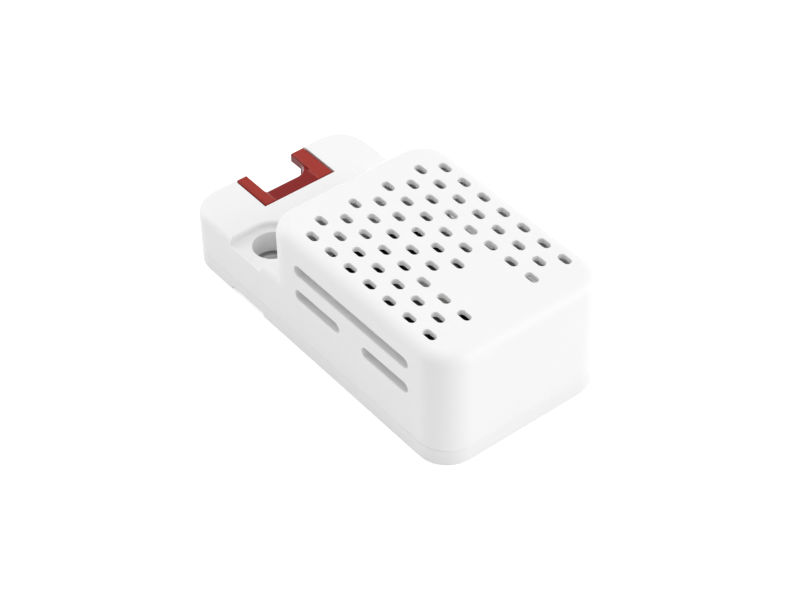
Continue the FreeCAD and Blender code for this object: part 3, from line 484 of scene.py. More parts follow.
def make_red_nylon():
    # Nylon with glass fibre, moulded: deep red, a low sheen, fine fibre streaks along the flow. Below the
    # top the tool is polished, so the lowered bar and the cavity are glossier and show less fibre. Their
    # deeper red is painted shade, for the shade that falls in the recess. Real fibres are 0.01 mm across
    # and 0.3 mm long; 0.18 mm across is the finest that shows.
    material, tree, shader, place = new_material("red_nylon_moulded", {
        "IOR": 1.53, "Specular IOR Level": 0.2,
    })
    stretched = add_node(tree, "ShaderNodeMapping", {"Vector": place, "Scale": (0.35, 1.0, 1.0)})
    fibre = add_node(tree, "ShaderNodeTexNoise", {
        "Vector": stretched, "Scale": per_mm(0.18), "Detail": 2.0,
    })
    height = add_node(tree, "ShaderNodeSeparateXYZ", {"Vector": place}).outputs["Z"]
    top = add_node(tree, "ShaderNodeMapRange", {
        "Value": height, "From Min": PAINTED_SHADE_AND_POLISH_BELOW / 1000, "From Max": (PAINTED_SHADE_AND_POLISH_BELOW + 0.06) / 1000,
    })
    matt = add_node(tree, "ShaderNodeMix", {
        "Factor": fibre, COLOUR_A: linear("#9A251A"), COLOUR_B: linear("#A22D22"),
    }, data_type="RGBA")
    # Painted shade: a deeper red below the top, for the shaded lowered bar and cavity
    painted_shade_red = add_node(tree, "ShaderNodeMix", {
        "Factor": fibre, COLOUR_A: linear("#830807"), COLOUR_B: linear("#870A09"),
    }, data_type="RGBA")
    red = add_node(tree, "ShaderNodeMix", {
        "Factor": top, COLOUR_A: painted_shade_red.outputs[MIXED], COLOUR_B: matt.outputs[MIXED],
    }, data_type="RGBA")
    gloss = add_node(tree, "ShaderNodeMapRange", {"Value": top, "To Min": 0.2, "To Max": 0.36})
    relief = add_node(tree, "ShaderNodeBump", {"Height": fibre, "Distance": 0.003 / 1000})
    tree.links.new(red.outputs[MIXED], shader.inputs["Base Color"])
    tree.links.new(gloss.outputs[0], shader.inputs["Roughness"])
    tree.links.new(relief.outputs[0], shader.inputs["Normal"])
    return material


def make_board_mask():
    # Solder mask on a fibreglass board, sprayed and cured: glossy black with copper runs under it, 4 mm
    # long between their bends
    material, tree, shader, place = new_material("black_solder_mask", {"IOR": 1.54, "Roughness": 0.28})
    tracks = add_node(tree, "ShaderNodeTexBrick", {
        "Vector": place, "Scale": per_mm(4.0), "Mortar Size": 0.03, "Bias": 0.0,
    }, offset=0.4).outputs["Fac"]
    black = add_node(tree, "ShaderNodeMix", {
        "Factor": tracks, COLOUR_A: linear("#0B0C0C"), COLOUR_B: linear("#151817"),
    }, data_type="RGBA")
    relief = add_node(tree, "ShaderNodeBump", {"Height": tracks, "Distance": 0.03 / 1000})
    tree.links.new(black.outputs[MIXED], shader.inputs["Base Color"])
    tree.links.new(relief.outputs[0], shader.inputs["Normal"])
    return material


def make_grained(name, shader_values, dark, light, roughness, size, depth=0.004, stretch=(1.0, 1.0, 1.0)):
    """A material whose colour, gloss and relief follow one grain. Size and depth are in millimetres."""
    material, tree, shader, place = new_material(name, shader_values)
    stretched = add_node(tree, "ShaderNodeMapping", {"Vector": place, "Scale": stretch})
    grain = add_node(tree, "ShaderNodeTexNoise", {
        "Vector": stretched, "Scale": per_mm(size), "Detail": 2.0,
    })
    colour = add_node(tree, "ShaderNodeMix", {
        "Factor": grain, COLOUR_A: linear(dark), COLOUR_B: linear(light),
    }, data_type="RGBA")
    polish, haze = roughness
    gloss = add_node(tree, "ShaderNodeMapRange", {"Value": grain, "To Min": polish, "To Max": haze})
    relief = add_node(tree, "ShaderNodeBump", {"Height": grain, "Distance": depth / 1000})
    tree.links.new(colour.outputs[MIXED], shader.inputs["Base Color"])
    tree.links.new(gloss.outputs[0], shader.inputs["Roughness"])
    tree.links.new(relief.outputs[0], shader.inputs["Normal"])
    return material


METAL = {"Metallic": 1.0}
METAL_RELIEF = 0.003

# By the record's material slot, or by the node for a piece whose finish differs from its slot's. Grains
# are 0.08 to 0.3 mm wide: the real ones, 0.01 to 0.05 mm, are too fine to show, so they are drawn coarser.
FINISHES = {
    "white_case": make_white_case("white_abs_spark_eroded", "#F1F1F1", "#F5F5F5"),
    # The cover's white is a shade greyer: painted shade for the darkening low on the case, near the floor
    "lower_cover": make_white_case("white_abs_cover_spark_eroded", "#EEEEEE", "#F2F2F2"),
    "red_nylon": make_red_nylon(),
    "board_mask": make_board_mask(),
    # Tin plate over brass, drawn as wire: bright with lengthwise die lines
    "tinned_metal": make_grained(
        "tinned_brass_drawn", METAL, "#BDBAB2", "#DEDCD6", (0.22, 0.36), 0.1, METAL_RELIEF,
        stretch=(0.15, 1.0, 1.0),
    ),
    # Steel, cold headed and blacked: dark with a dull gloss
    "screw_steel": make_grained(
        "blackened_steel_headed", METAL, "#2C2D30", "#4A4B4E", (0.32, 0.48), 0.3, METAL_RELIEF
    ),
    # Nickel silver, deep drawn and blacked against stray light: dark grey with fine scratches
    "sensor_can": make_grained(
        "nickel_silver_blacked", METAL, "#4E4C4A", "#64625F", (0.3, 0.44), 0.25, METAL_RELIEF,
        stretch=(1.0, 0.2, 1.0),
    ),
    # Tin solder, reflowed: bright and slightly wavy
    "solder": make_grained(
        "tin_solder_reflowed", METAL, "#BFC0C0", "#E0E0DF", (0.15, 0.32), 0.2, METAL_RELIEF
    ),
    # Fibreglass base with a sprayed mask: dull dark green
    "sensor_base": make_grained(
        "fibreglass_masked", {"IOR": 1.5}, "#1A351F", "#24452A", (0.35, 0.5), 0.3
    ),
    # Expanded fluoropolymer film, stretched: white and matt like felt
    "filter_membrane": make_grained(
        "filter_film_stretched", {"IOR": 1.38}, "#D9D9D3", "#ECECE8", (0.7, 0.9), 0.08, 0.01
    ),
    # Alumina, pressed and fired: cream and chalky
    "emitter_ceramic": make_grained(
        "alumina_fired", {"IOR": 1.76}, "#D2CDBF", "#E3DFD4", (0.5, 0.7), 0.15
    ),
    # Epoxy, transfer moulded: black-grey with a fine grain
    "chip_epoxy": make_grained(
        "black_epoxy_moulded", {"IOR": 1.55}, "#191A1C", "#26272A", (0.5, 0.68), 0.1
    ),
    # Titanate ceramic, pressed and fired: brown with a faint gloss
    "capacitor_ceramic": make_grained(
        "titanate_ceramic_fired", {"IOR": 2.0}, "#8C7150", "#A68A66", (0.4, 0.55), 0.12
    ),
    # Glaze over a resistive film, fired: black and shiny
    "resistor_film": make_grained(
        "resistor_glaze_fired", {"IOR": 1.6}, "#101014", "#1B1B20", (0.25, 0.4), 0.12
    ),
}


# What repeats

MATH = "ShaderNodeMath"


def new_tree(name, sockets):
    """A Geometry Nodes tree with named inputs, and the outputs of its input node."""
    tree = bpy.data.node_groups.new(name, "GeometryNodeTree")
    tree.interface.new_socket(name="Geometry", in_out="INPUT", socket_type="NodeSocketGeometry")
    for kind, names in sockets.items():
        for socket in names:
            tree.interface.new_socket(name=socket, in_out="INPUT", socket_type="NodeSocket" + kind)
    tree.interface.new_socket(name="Geometry", in_out="OUTPUT", socket_type="NodeSocketGeometry")
    return tree, add_node(tree, "NodeGroupInput").outputs


def finish_tree(tree, geometry, finish):
    whole = add_node(tree, "GeometryNodeRealizeInstances", {"Geometry": geometry})
    painted = add_node(tree, "GeometryNodeSetMaterial", {"Geometry": whole, "Material": finish})
    add_node(tree, "NodeGroupOutput", {"Geometry": painted})
    return tree


def make_vent_tree():
    """Rows of slots cut through the roof, every second row shifted and the middle rows cut short."""
    tree, given = new_tree("vent_grille", {
        "Object": ["Slot cutter"],
        "Int": ["Rows", "Columns", "Short columns", "Short rows"],
        "Float": ["Column pitch", "Row pitch", "Stagger", "First column"],
        "Material": ["Finish"],
    })
    index = add_node(tree, "GeometryNodeInputIndex")
    column = add_node(tree, MATH, {0: index, 1: given["Columns"]}, operation="MODULO")
    passed = add_node(tree, MATH, {0: index, 1: given["Columns"]}, operation="DIVIDE")
    number = add_node(tree, MATH, {0: passed}, operation="FLOOR")
    half = add_node(tree, MATH, {0: given["Rows"], 1: 2.0}, operation="DIVIDE")
    middle_row = add_node(tree, MATH, {0: half}, operation="FLOOR")
    row = add_node(tree, MATH, {0: number, 1: middle_row}, operation="SUBTRACT")
    from_middle = add_node(tree, MATH, {0: row}, operation="ABSOLUTE")
    odd = add_node(tree, MATH, {0: from_middle, 1: 2.0}, operation="MODULO")
    shift = add_node(tree, MATH, {0: odd, 1: given["Stagger"]}, operation="MULTIPLY")
    along = add_node(tree, MATH, {0: column, 1: given["Column pitch"]}, operation="MULTIPLY")
    unshifted = add_node(tree, MATH, {0: given["First column"], 1: along}, operation="ADD")
    x = add_node(tree, MATH, {0: unshifted, 1: shift}, operation="SUBTRACT")
    y = add_node(tree, MATH, {0: row, 1: given["Row pitch"]}, operation="MULTIPLY")
    spot = add_node(tree, "ShaderNodeCombineXYZ", {"X": x, "Y": y})
    count = add_node(tree, MATH, {0: given["Rows"], 1: given["Columns"]}, operation="MULTIPLY")
    points = add_node(tree, "GeometryNodePoints", {"Count": count, "Position": spot})
    in_middle = add_node(tree, MATH, {0: from_middle, 1: given["Short rows"]}, operation="LESS_THAN")
    last = add_node(tree, MATH, {0: given["Short columns"], 1: 0.5}, operation="SUBTRACT")
    beyond = add_node(tree, MATH, {0: column, 1: last}, operation="GREATER_THAN")
    bare = add_node(tree, MATH, {0: in_middle, 1: beyond}, operation="MULTIPLY")
    kept = add_node(tree, "GeometryNodeDeleteGeometry", {
        "Geometry": points, "Selection": bare,
    }, domain="POINT")
    tool = add_node(tree, "GeometryNodeObjectInfo", {"Object": given["Slot cutter"]}).outputs["Geometry"]
    placed = add_node(tree, "GeometryNodeInstanceOnPoints", {"Points": kept, "Instance": tool})
    real = add_node(tree, "GeometryNodeRealizeInstances", {"Geometry": placed})
    cut = add_node(tree, "GeometryNodeMeshBoolean", {
        "Mesh 1": given["Geometry"], "Mesh 2": real,
    }, operation="DIFFERENCE", solver="MANIFOLD")
    return finish_tree(tree, cut, given["Finish"])


def make_row_tree():
    """Copies of a piece in a row, or in equal rows on the sides of a polygon round a middle point."""
    tree, given = new_tree("rows_of_pieces", {
        "Int": ["Sides", "Per side"],
        "Float": ["Pitch", "Reach", "First turn"],
        "Vector": ["Middle"],
        "Material": ["Finish"],
    })
    index = add_node(tree, "GeometryNodeInputIndex")
    passed = add_node(tree, MATH, {0: index, 1: given["Per side"]}, operation="DIVIDE")
    side = add_node(tree, MATH, {0: passed}, operation="FLOOR")
    before = add_node(tree, MATH, {0: side, 1: given["Per side"]}, operation="MULTIPLY")
    step = add_node(tree, MATH, {0: index, 1: before}, operation="SUBTRACT")
    gaps = add_node(tree, MATH, {0: given["Per side"], 1: 1.0}, operation="SUBTRACT")
    half_row = add_node(tree, MATH, {0: gaps, 1: 2.0}, operation="DIVIDE")
    steps_along = add_node(tree, MATH, {0: step, 1: half_row}, operation="SUBTRACT")
    along = add_node(tree, MATH, {0: steps_along, 1: given["Pitch"]}, operation="MULTIPLY")
    whole_turns = add_node(tree, MATH, {0: side, 1: math.tau}, operation="MULTIPLY")
    side_turn = add_node(tree, MATH, {0: whole_turns, 1: given["Sides"]}, operation="DIVIDE")
    turn = add_node(tree, MATH, {0: given["First turn"], 1: side_turn}, operation="ADD")
    cosine = add_node(tree, MATH, {0: turn}, operation="COSINE")
    sine = add_node(tree, MATH, {0: turn}, operation="SINE")
    out_x = add_node(tree, MATH, {0: given["Reach"], 1: cosine}, operation="MULTIPLY")
    out_y = add_node(tree, MATH, {0: given["Reach"], 1: sine}, operation="MULTIPLY")
    along_x = add_node(tree, MATH, {0: along, 1: sine}, operation="MULTIPLY")
    along_y = add_node(tree, MATH, {0: along, 1: cosine}, operation="MULTIPLY")
    x = add_node(tree, MATH, {0: out_x, 1: along_x}, operation="SUBTRACT")
    y = add_node(tree, MATH, {0: out_y, 1: along_y}, operation="ADD")
    offset = add_node(tree, "ShaderNodeCombineXYZ", {"X": x, "Y": y})
    spot = add_node(tree, "ShaderNodeVectorMath", {0: offset, 1: given["Middle"]}, operation="ADD")
    count = add_node(tree, MATH, {0: given["Sides"], 1: given["Per side"]}, operation="MULTIPLY")
    points = add_node(tree, "GeometryNodePoints", {"Count": count, "Position": spot})
    heading = add_node(tree, "ShaderNodeCombineXYZ", {"Z": turn})
    facing = add_node(tree, "FunctionNodeEulerToRotation", {"Euler": heading})
    placed = add_node(tree, "GeometryNodeInstanceOnPoints", {
        "Points": points, "Instance": given["Geometry"], "Rotation": facing,
    })
    return finish_tree(tree, placed, given["Finish"])


def grow(made, tree, values):
    """Run a tree on an object with its named inputs set, and keep the result as a plain mesh."""
    modifier = made.modifiers.new(tree.name, "NODES")
    modifier.node_group = tree
    for item in tree.interface.items_tree:
        if item.in_out == "INPUT" and item.name in values:
            modifier[item.identifier] = values[item.name]
    settle(made)
    return made


ROWS = make_row_tree()


def lay_rows(piece, finish, middle, per_side, pitch, sides=1, reach=0.0, first_turn=0.0):
    """Rows of a piece, with lengths in millimetres and the turn in degrees."""
    return grow(piece, ROWS, {
        "Sides": sides,
        "Per side": per_side,
        "Pitch": pitch / 1000,
        "Reach": reach / 1000,
        "First turn": math.radians(first_turn),
        "Middle": [c / 1000 for c in middle],
        "Finish": FINISHES[finish],
    })


# Upper housing


def make_case_shell():
    """The two levels of the case, hollow, with a rebate for the cover's tongue."""
    shell = block("upper_housing_moulding", case_outline(LOW_END), PARTING, LOW_TOP, EDGE, LOW_TOP_EDGE, 6)
    tall = block("tall", case_outline(STEP), PARTING, TALL_TOP, EDGE, TALL_TOP_EDGE, 10)
    carve(shell, [tall], "UNION")
    below = PARTING - PAST
    rebate = case_outline(LOW_END, WALL - TONGUE_WIDTH - FIT)
    return carve(shell, [
        block("hollow", case_outline(LOW_END, WALL), below, LOW_TOP - LOW_ROOF, high_edge=0.4),
        block("hollow", case_outline(STEP, WALL), below, TALL_TOP - ROOF_THICKNESS, high_edge=0.6),
        block("rebate", rebate, below, PARTING + TONGUE_HEIGHT + FIT),
    ])


def make_housing_ribs(side):
    """Inside the housing on one side: the floor under the scoop, the pin hole's tube and a screw boss."""
    floor_top = LOW_TOP - SCOOP_DEPTH
    shelf = scoop_outline(side, SCOOP_RADIUS + SHELF_MARGIN, HALF_WIDTH - WALL / 2)
    tube = disc_round(PIN_HOLE, side, TUBE_RADIUS)
    boss = disc_round(SCREW, side, BOSS_RADIUS)
    return [
        block("floor", shelf, floor_top - SCOOP_FLOOR, floor_top),
        block("tube", tube, TUBE_SPLIT + TUBE_ABOVE, floor_top - 0.1, low_edge=0.2),
        block("boss", boss, BOARD_TOP, BOSS_TOP, low_edge=0.1, high_edge=0.2),
    ]


def make_scoop_cutter(side):
    """A scoop sweeps up from its floor in a hollow curve and ends in a small round rim."""
    floor_top = LOW_TOP - SCOOP_DEPTH
    turns = quarter_turns(6)
    cove = [(floor_top + SCOOP_COVE * (1 - math.cos(t)), -SCOOP_COVE * (1 - math.sin(t))) for t in turns]
    rim = flare(LOW_TOP, SCOOP_RIM, 1, 6) + [(LOW_TOP + LIP_PAST, SCOOP_RIM)]
    return loft("scoop", scoop_outline(side, SCOOP_RADIUS, HALF_WIDTH + PAST), cove + rim)


def make_housing_cutters(side):
    """Through the housing on one side: room for the cover's tube, screw pilot, scoop, bore and slots."""
    tube_end = TUBE_SPLIT + TUBE_ABOVE
    room = disc_round(PIN_HOLE, side, TUBE_RADIUS + FIT)
    pilot = disc_round(SCREW, side, SCREW_RADIUS + FIT, 32)
    bore = disc_round(PIN_HOLE, side, PIN_RADIUS)
    cutters = [
        block("room", room, PARTING - PAST, tube_end),
        cutter(pilot, SCREW_TIP + 0.5, BOARD_TOP),
        make_scoop_cutter(side),
        # The bore is cut from both of its ends, which overlap by 0.1 mm
        cutter(bore, TUBE_SPLIT + 1.0, LOW_TOP - SCOOP_DEPTH, PIN_LIP),
        cutter(bore, TUBE_SPLIT + 1.1, tube_end, SLEEVE_LIP),
    ]
    inner = side * (HALF_WIDTH - WALL - 0.5)
    for middle, level, length in SIDE_VENTS:
        vent = slot(middle, level, length, SIDE_VENT_HEIGHT)
        cutters.append(cutter(vent, inner, side * HALF_WIDTH, SIDE_VENT_LIP, sideways=True))
    return cutters


def make_snap_cutters(side):
    """Room for a snap tab of the cover, and the groove that its hook catches in."""
    inner = HALF_WIDTH - WALL - 0.3
    outer = HALF_WIDTH - WALL + TONGUE_WIDTH + FIT
    ends = (SNAP_LOW - FIT, SNAP_HIGH + FIT)
    room = side_strip(*ends, side, inner, outer)
    groove = side_strip(*ends, side, inner, outer + SNAP_HOOK)
    return [
        block("room", room, PARTING - PAST, SNAP_TOP + FIT),
        block("groove", groove, SNAP_TOP - HOOK_HEIGHT - FIT, SNAP_TOP + FIT),
    ]


def make_upper_housing():
    housing = make_case_shell()
    carve(housing, make_housing_ribs(-1) + make_housing_ribs(1), "UNION")
    half = HEADER_HALF + WINDOW_GAP
    window = rectangle(LOW_END - PAST, HEADER_WINDOW + WINDOW_GAP, -half, half)
    cutters = make_housing_cutters(-1) + make_housing_cutters(1)
    cutters.append(cutter(window, PARTING - PAST, LOW_TOP, WINDOW_LIP))
    return carve(housing, cutters + make_snap_cutters(-1) + make_snap_cutters(1))


def cut_vents(housing):
    below_roof = TALL_TOP - ROOF_THICKNESS - LIP_PAST
    slot_cutter = cutter(slot(0.0, VENT_SHIFT, *VENT_SIZE, 8), below_roof, TALL_TOP, VENT_LIP)
    grow(housing, make_vent_tree(), {
        "Slot cutter": slot_cutter,
        "Rows": VENT_ROWS,
        "Columns": VENT_COLUMNS,
        "Short columns": VENT_SHORT_COLUMNS,
        "Short rows": VENT_SHORT_ROWS,
        "Column pitch": VENT_COLUMN_PITCH / 1000,
        "Row pitch": VENT_ROW_PITCH / 1000,
        "Stagger": VENT_STAGGER / 1000,
        "First column": VENT_FIRST_X / 1000,
        "Finish": FINISHES["white_case"],
    })
    bpy.data.objects.remove(slot_cutter)
    return housing


# Lower cover and its screws


def make_cover_ribs(side):
    """On the cover's floor on one side: snap tab with its hook, tube, screw pad and two rests."""
    inner = HALF_WIDTH - WALL
    outer = inner + TONGUE_WIDTH
    tab = side_strip(SNAP_LOW, SNAP_HIGH, side, inner, outer)
    hook = side_strip(SNAP_LOW, SNAP_HIGH, side, inner, outer + SNAP_HOOK)
    tube = disc_round(PIN_HOLE, side, TUBE_RADIUS)
    pad = disc_round(SCREW, side, BOSS_RADIUS)
    ribs = [
        block("tab", tab, COVER_ROOT, SNAP_TOP),
        block("hook", hook, SNAP_TOP - HOOK_HEIGHT, SNAP_TOP, high_edge=0.1),
        block("tube", tube, 0.3, TUBE_SPLIT - TUBE_BELOW, high_edge=0.1),
        block("pad", pad, COVER_FLOOR / 2, BOARD_LOW, high_edge=0.1),
    ]
    for x, y in ((HEADER_WINDOW, side * HEADER_HALF / 2), (0.0, side * PIN_HOLE[1])):
        rest = rectangle(x - 1, x + 1, y - 1, y + 1)
        ribs.append(block("rest", rest, COVER_FLOOR / 2, BOARD_LOW, high_edge=0.1))
    return ribs


def make_cover_cutters(side):
    """Through the cover on one side: the bore from both ends, the shallow foot scoop, the screw hole."""
    bore = disc_round(PIN_HOLE, side, PIN_RADIUS)
    foot = scoop_outline(side, SCOOP_RADIUS, HALF_WIDTH + PAST)
    sink = SCREW_HEAD - SCREW_RADIUS
    screw_hole = disc_round(SCREW, side, SCREW_RADIUS + FIT)
    return [
        cutter(bore, 1.5, TUBE_SPLIT - TUBE_BELOW, SLEEVE_LIP),
        cutter(bore, 1.6, FOOT_SCOOP_DEPTH, PIN_LIP, past=2.0),
        cutter(foot, FOOT_SCOOP_DEPTH, 0.0, FOOT_SCOOP_LIP),
        loft("hole", screw_hole, [(-0.5, sink + 0.5), (sink, 0.0), (3.0, 0.0)]),
    ]


def make_lower_cover():
    cover = block("lower_cover_moulding", case_outline(LOW_END), 0.0, PARTING, BASE_EDGE, EDGE)
    tongue = case_outline(LOW_END, WALL - TONGUE_WIDTH)
    carve(cover, [block("tongue", tongue, COVER_ROOT, PARTING + TONGUE_HEIGHT, high_edge=0.1)], "UNION")
    carve(cover, [block("hollow", case_outline(LOW_END, WALL), COVER_FLOOR, PARTING + 2, low_edge=0.3)])
    sill = rectangle(LOW_END + BASE_EDGE, LOW_END + WALL, -HEADER_HALF, HEADER_HALF)
    ribs = [block("sill", sill, COVER_ROOT, BOARD_TOP, high_edge=0.1)]
    carve(cover, ribs + make_cover_ribs(-1) + make_cover_ribs(1), "UNION")
    return carve(cover, make_cover_cutters(-1) + make_cover_cutters(1))


def thread_radius(level, turn):
    """Radius of a one-start thread that fades in below the head and out along the tapered point."""
    ridge = 1 - abs(((level / SCREW_PITCH - turn) % 1.0) * 2 - 1)
    left = (SCREW_TIP - level) / SCREW_POINT
    fade = min(1.0, (level - SCREW_NECK) / 0.6, left)
    shank = SCREW_ROOT if left > 1.0 else SCREW_END + (SCREW_ROOT - SCREW_END) * left
    return shank + (SCREW_RADIUS - SCREW_ROOT) * max(0.0, ridge * 1.6 - 0.6) * fade


def make_screw():
    """A countersunk screw, head down, with a thread and a hexagon socket."""
    turns = [step / 48 for step in range(48)]
    # Level and radius, from the rim of the head down its cone to the shank
    head = [(0.05, 2.12), (0.12, 2.22), (1.16, SCREW_ROOT + 0.12), (1.3, SCREW_ROOT)]
    rows = [(level, [radius for turn in turns]) for level, radius in head]
    last = 55
    for number in range(last + 1):
        level = SCREW_NECK + (SCREW_TIP - SCREW_NECK) * number / last
        rows.append((level, [thread_radius(level, turn) for turn in turns]))
    rings = []
    for level, radii in rows:
        rings.append([
            (r / 1000 * math.cos(math.tau * turn), r / 1000 * math.sin(math.tau * turn), level / 1000)
            for r, turn in zip(radii, turns)
        ])
    screw = skin("case_screws_headed", rings)
    return carve(screw, [cutter(disc(0.0, 0.0, KEY_RADIUS, 6), KEY_DEPTH, 0.05, 0.05)])


# Circuit board


def make_circuit_board():
    outline = case_outline(LOW_END, WALL + BOARD_GAP)
    board = block("circuit_board_panel", outline, BOARD_LOW, BOARD_TOP, 0.03, 0.03, 2)
    cutters = []
    for side in (-1, 1):
        scallop = disc_round(PIN_HOLE, side, TUBE_RADIUS + BOARD_GAP)
        hole = disc_round(SCREW, side, SCREW_RADIUS + BOARD_GAP / 2)
        cutters.append(block("scallop", scallop, BOARD_LOW - PAST, BOARD_TOP + PAST))
        cutters.append(block("hole", hole, BOARD_LOW - PAST, BOARD_TOP + PAST))
    return carve(board, cutters)


# Socket


def notch_outline(grown=0.0):
    """The cut-out in the socket's roof. Growing moves only its back edge, where the lip is."""
    mouth = HEADER_MOUTH - PAST
    back = HEADER_MOUTH + NOTCH_LENGTH + grown
    near, far = NOTCH_SIDES
    near_corner, far_corner = NOTCH_CORNERS
    corners = corner_points(back - near_corner, near + near_corner, near_corner, 270, 4)
    corners += corner_points(back - far_corner, far - far_corner, far_corner, 0, 10)
    return [(mouth, near)] + corners + [(mouth, far)]


def make_header_housing():
    """The red socket: arms and bar round a cut-out in its roof, cavity and contact slits."""
    socket = rounded_rectangle(HEADER_MOUTH, HEADER_WINDOW, -HEADER_HALF, HEADER_HALF, 0.15, 4)
    housing = block("socket_moulding", socket, BOARD_TOP, LOW_TOP, high_edge=0.18)
    rear_start = HEADER_WINDOW - HEADER_BACK
    rear = rectangle(rear_start, HEADER_REAR, -HEADER_HALF, HEADER_HALF)
    carve(housing, [block("rear", rear, BOARD_TOP, HEADER_REAR_TOP, high_edge=0.1)], "UNION")
    near, far = NOTCH_SIDES
    mouth = HEADER_MOUTH - PAST
    bridge_level = LOW_TOP - BRIDGE_DROP
    recess = rectangle(mouth, HEADER_WINDOW + PAST, near + BRIDGE_SLOPE, far - BRIDGE_SLOPE)
    slope = [(bridge_level, 0.0), (LOW_TOP, BRIDGE_SLOPE), (LOW_TOP + PAST, BRIDGE_SLOPE)]
    arm_edge = rectangle(mouth, HEADER_MOUTH + NOTCH_LENGTH, 0.0, far)
    inner = HEADER_HALF - HEADER_SIDE
    cavity = rectangle(mouth, HEADER_REAR - HEADER_BACK, -inner, inner)
    cavity_top = LOW_TOP - HEADER_ROOF
    cutters = [
        loft("recess", recess, slope),
        cutter(notch_outline, cavity_top - 0.5, bridge_level, BRIDGE_EDGE),
        cutter(arm_edge, LOW_TOP - ARM_EDGE, LOW_TOP, ARM_EDGE),
        block("cavity", cavity, BOARD_TOP + HEADER_FLOOR, cavity_top, 0.1, 0.1),
    ]
    half = CONTACT_SIDE / 2
    for number in range(4):
        middle = (number - 1.5) * CONTACT_PITCH
        slit = rectangle(rear_start - PAST, HEADER_REAR + PAST, middle - half, middle + half)
        cutters.append(block("slit", slit, CONTACT_LEVEL - half, CONTACT_LEVEL + half))
    return carve(housing, cutters)


def make_contact():
    """One bent wire: pointed tip in the cavity, leg behind the back wall, soldered foot."""
    half = CONTACT_SIDE / 2
    low = CONTACT_LEVEL - half
    high = CONTACT_LEVEL + half
    tip = HEADER_REAR - HEADER_BACK - CONTACT_REACH
    leg = HEADER_REAR + LEG_GAP
    heel = leg + CONTACT_SIDE
    foot = heel + CONTACT_FOOT
    foot_top = BOARD_TOP + half
    inner_bend = 0.1
    outer_bend = 0.3
    foot_bend = 0.12
    points = [
        (tip, CONTACT_LEVEL - half / 2),
        (tip + CONTACT_TAPER, low),
        (leg - inner_bend, low),
        (leg, low - inner_bend),
        (leg, BOARD_TOP),
        (foot, BOARD_TOP),
        (foot, foot_top),
        (heel + foot_bend, foot_top),
        (heel, foot_top + foot_bend),
        (heel, high - outer_bend),
        (heel - outer_bend, high),
        (tip + CONTACT_TAPER, high),
        (tip, CONTACT_LEVEL + half / 2),
    ]
    wire = bent_strip("header_contact_wires", points, CONTACT_SIDE)
    for vertex in wire.data.vertices:
        if vertex.co.x * 1000 < tip + 0.1:
            vertex.co.y *= 0.5
    return soften(wire, 0.03)


# Gas sensor


def make_sensor_cap():
    side = 2 * (SENSOR_HALF - CAP_MARGIN)
    inner_side = side - 2 * CAP_WALL
    outer = centred_rectangle(SENSOR_X, 0.0, side, side, CAP_CORNER, 8)
    inner = centred_rectangle(SENSOR_X, 0.0, inner_side, inner_side, CAP_CORNER - CAP_WALL, 8)
    port = centred_rectangle(SENSOR_X, PORT_Y, *PORT_SIZE, 0.25, 4)
    cap = block("sensor_cap_drawn", outer, CAP_LOW, CAP_TOP, 0.03, 0.3, 6)
    return carve(cap, [
        block("inside", inner, CAP_LOW - PAST, CAP_TOP - CAP_WALL, high_edge=0.15),
        cutter(port, CAP_TOP - PAST, CAP_TOP, 0.04),
    ])


def make_membrane():
    length, width = (size + margin for size, margin in zip(PORT_SIZE, FILM_MARGINS))
    plan = centred_rectangle(SENSOR_X, PORT_Y, length, width, 0.35, 6)
    return block("filter_membrane_film", plan, CAP_TOP, CAP_TOP + FILM_THICKNESS, 0.0, 0.06, 3)


def make_land():
    """A solder fillet from the board up to the edge of the sensor base."""
    half = LAND_SIDE / 2
    plan = rectangle(-half / 2, half / 2, -half, half)
    return block("sensor_solder_fillets", plan, BOARD_TOP, SENSOR_BASE, 0.0, 0.06, 3)


# Small parts on the board


def make_lead(name, body_half, top):
    """One gull-wing lead that reaches from a chip's side along +X to the board."""
    root = body_half - 0.05
    shoulder = body_half + LEAD_SHOULDER
    inner = shoulder - SHEET_METAL
    toe = body_half + LEAD_REACH
    underside = top - SHEET_METAL
    foot_top = BOARD_TOP + SHEET_METAL
    inner_knee, outer_knee = 0.06, 0.12
    inner_heel, outer_heel = 0.05, 0.08
    points = [
        (root, underside),
        (inner - inner_knee, underside),
        (inner, underside - inner_knee),
        (inner, BOARD_TOP + outer_heel),
        (inner + outer_heel, BOARD_TOP),
        (toe, BOARD_TOP),
        (toe, foot_top),
        (shoulder + inner_heel, foot_top),
        (shoulder, foot_top + inner_heel),
        (shoulder, top - outer_knee),
        (shoulder - outer_knee, top),
        (root, top),
    ]
    return soften(bent_strip(name, points, LEAD_WIDTH), 0.015)


def make_tapered_chip(node_name, name):
    """A moulded chip body: sides drawn in by the mould's taper, a dimple at the first lead."""
    low, high = ([c * 1000 for c in corner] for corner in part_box(node_name))
    plan = rounded_rectangle(low[0], high[0], low[1], high[1], 0.08, 3)
    middle = (low[2] + high[2]) / 2
    chip = loft(name, plan, [(low[2], -0.07), (middle, 0.0), (high[2] - 0.03, -0.06), (high[2], -0.09)])
    dimple = disc(low[0] + 0.4, low[1] + 0.4, 0.14, 24)
    return carve(chip, [cutter(dimple, high[2] - 0.06, high[2], 0.02)])


def softened_copy(node_name, name, width):
    """The solid of a node again, with its edges rounded."""
    mesh = frame["nodes"][node_name].data.copy()
    mesh.name = name
    bm = bmesh.new()
    bm.from_mesh(mesh)
    bmesh.ops.remove_doubles(bm, verts=bm.verts, dist=1e-7)
    bmesh.ops.dissolve_limit(bm, angle_limit=math.radians(1), verts=bm.verts, edges=bm.edges)
    bmesh.ops.recalc_face_normals(bm, faces=bm.faces)
    bm.to_mesh(mesh)
    bm.free()
    return soften(add_object(name, mesh), width)


# Every piece on the frame

# Each chip with its leads and their pitch
CHIPS = (
    ("voltage_regulator", "regulator_leads", 0.95),
    ("level_shifter", "level_shifter_leads", 0.65),
)
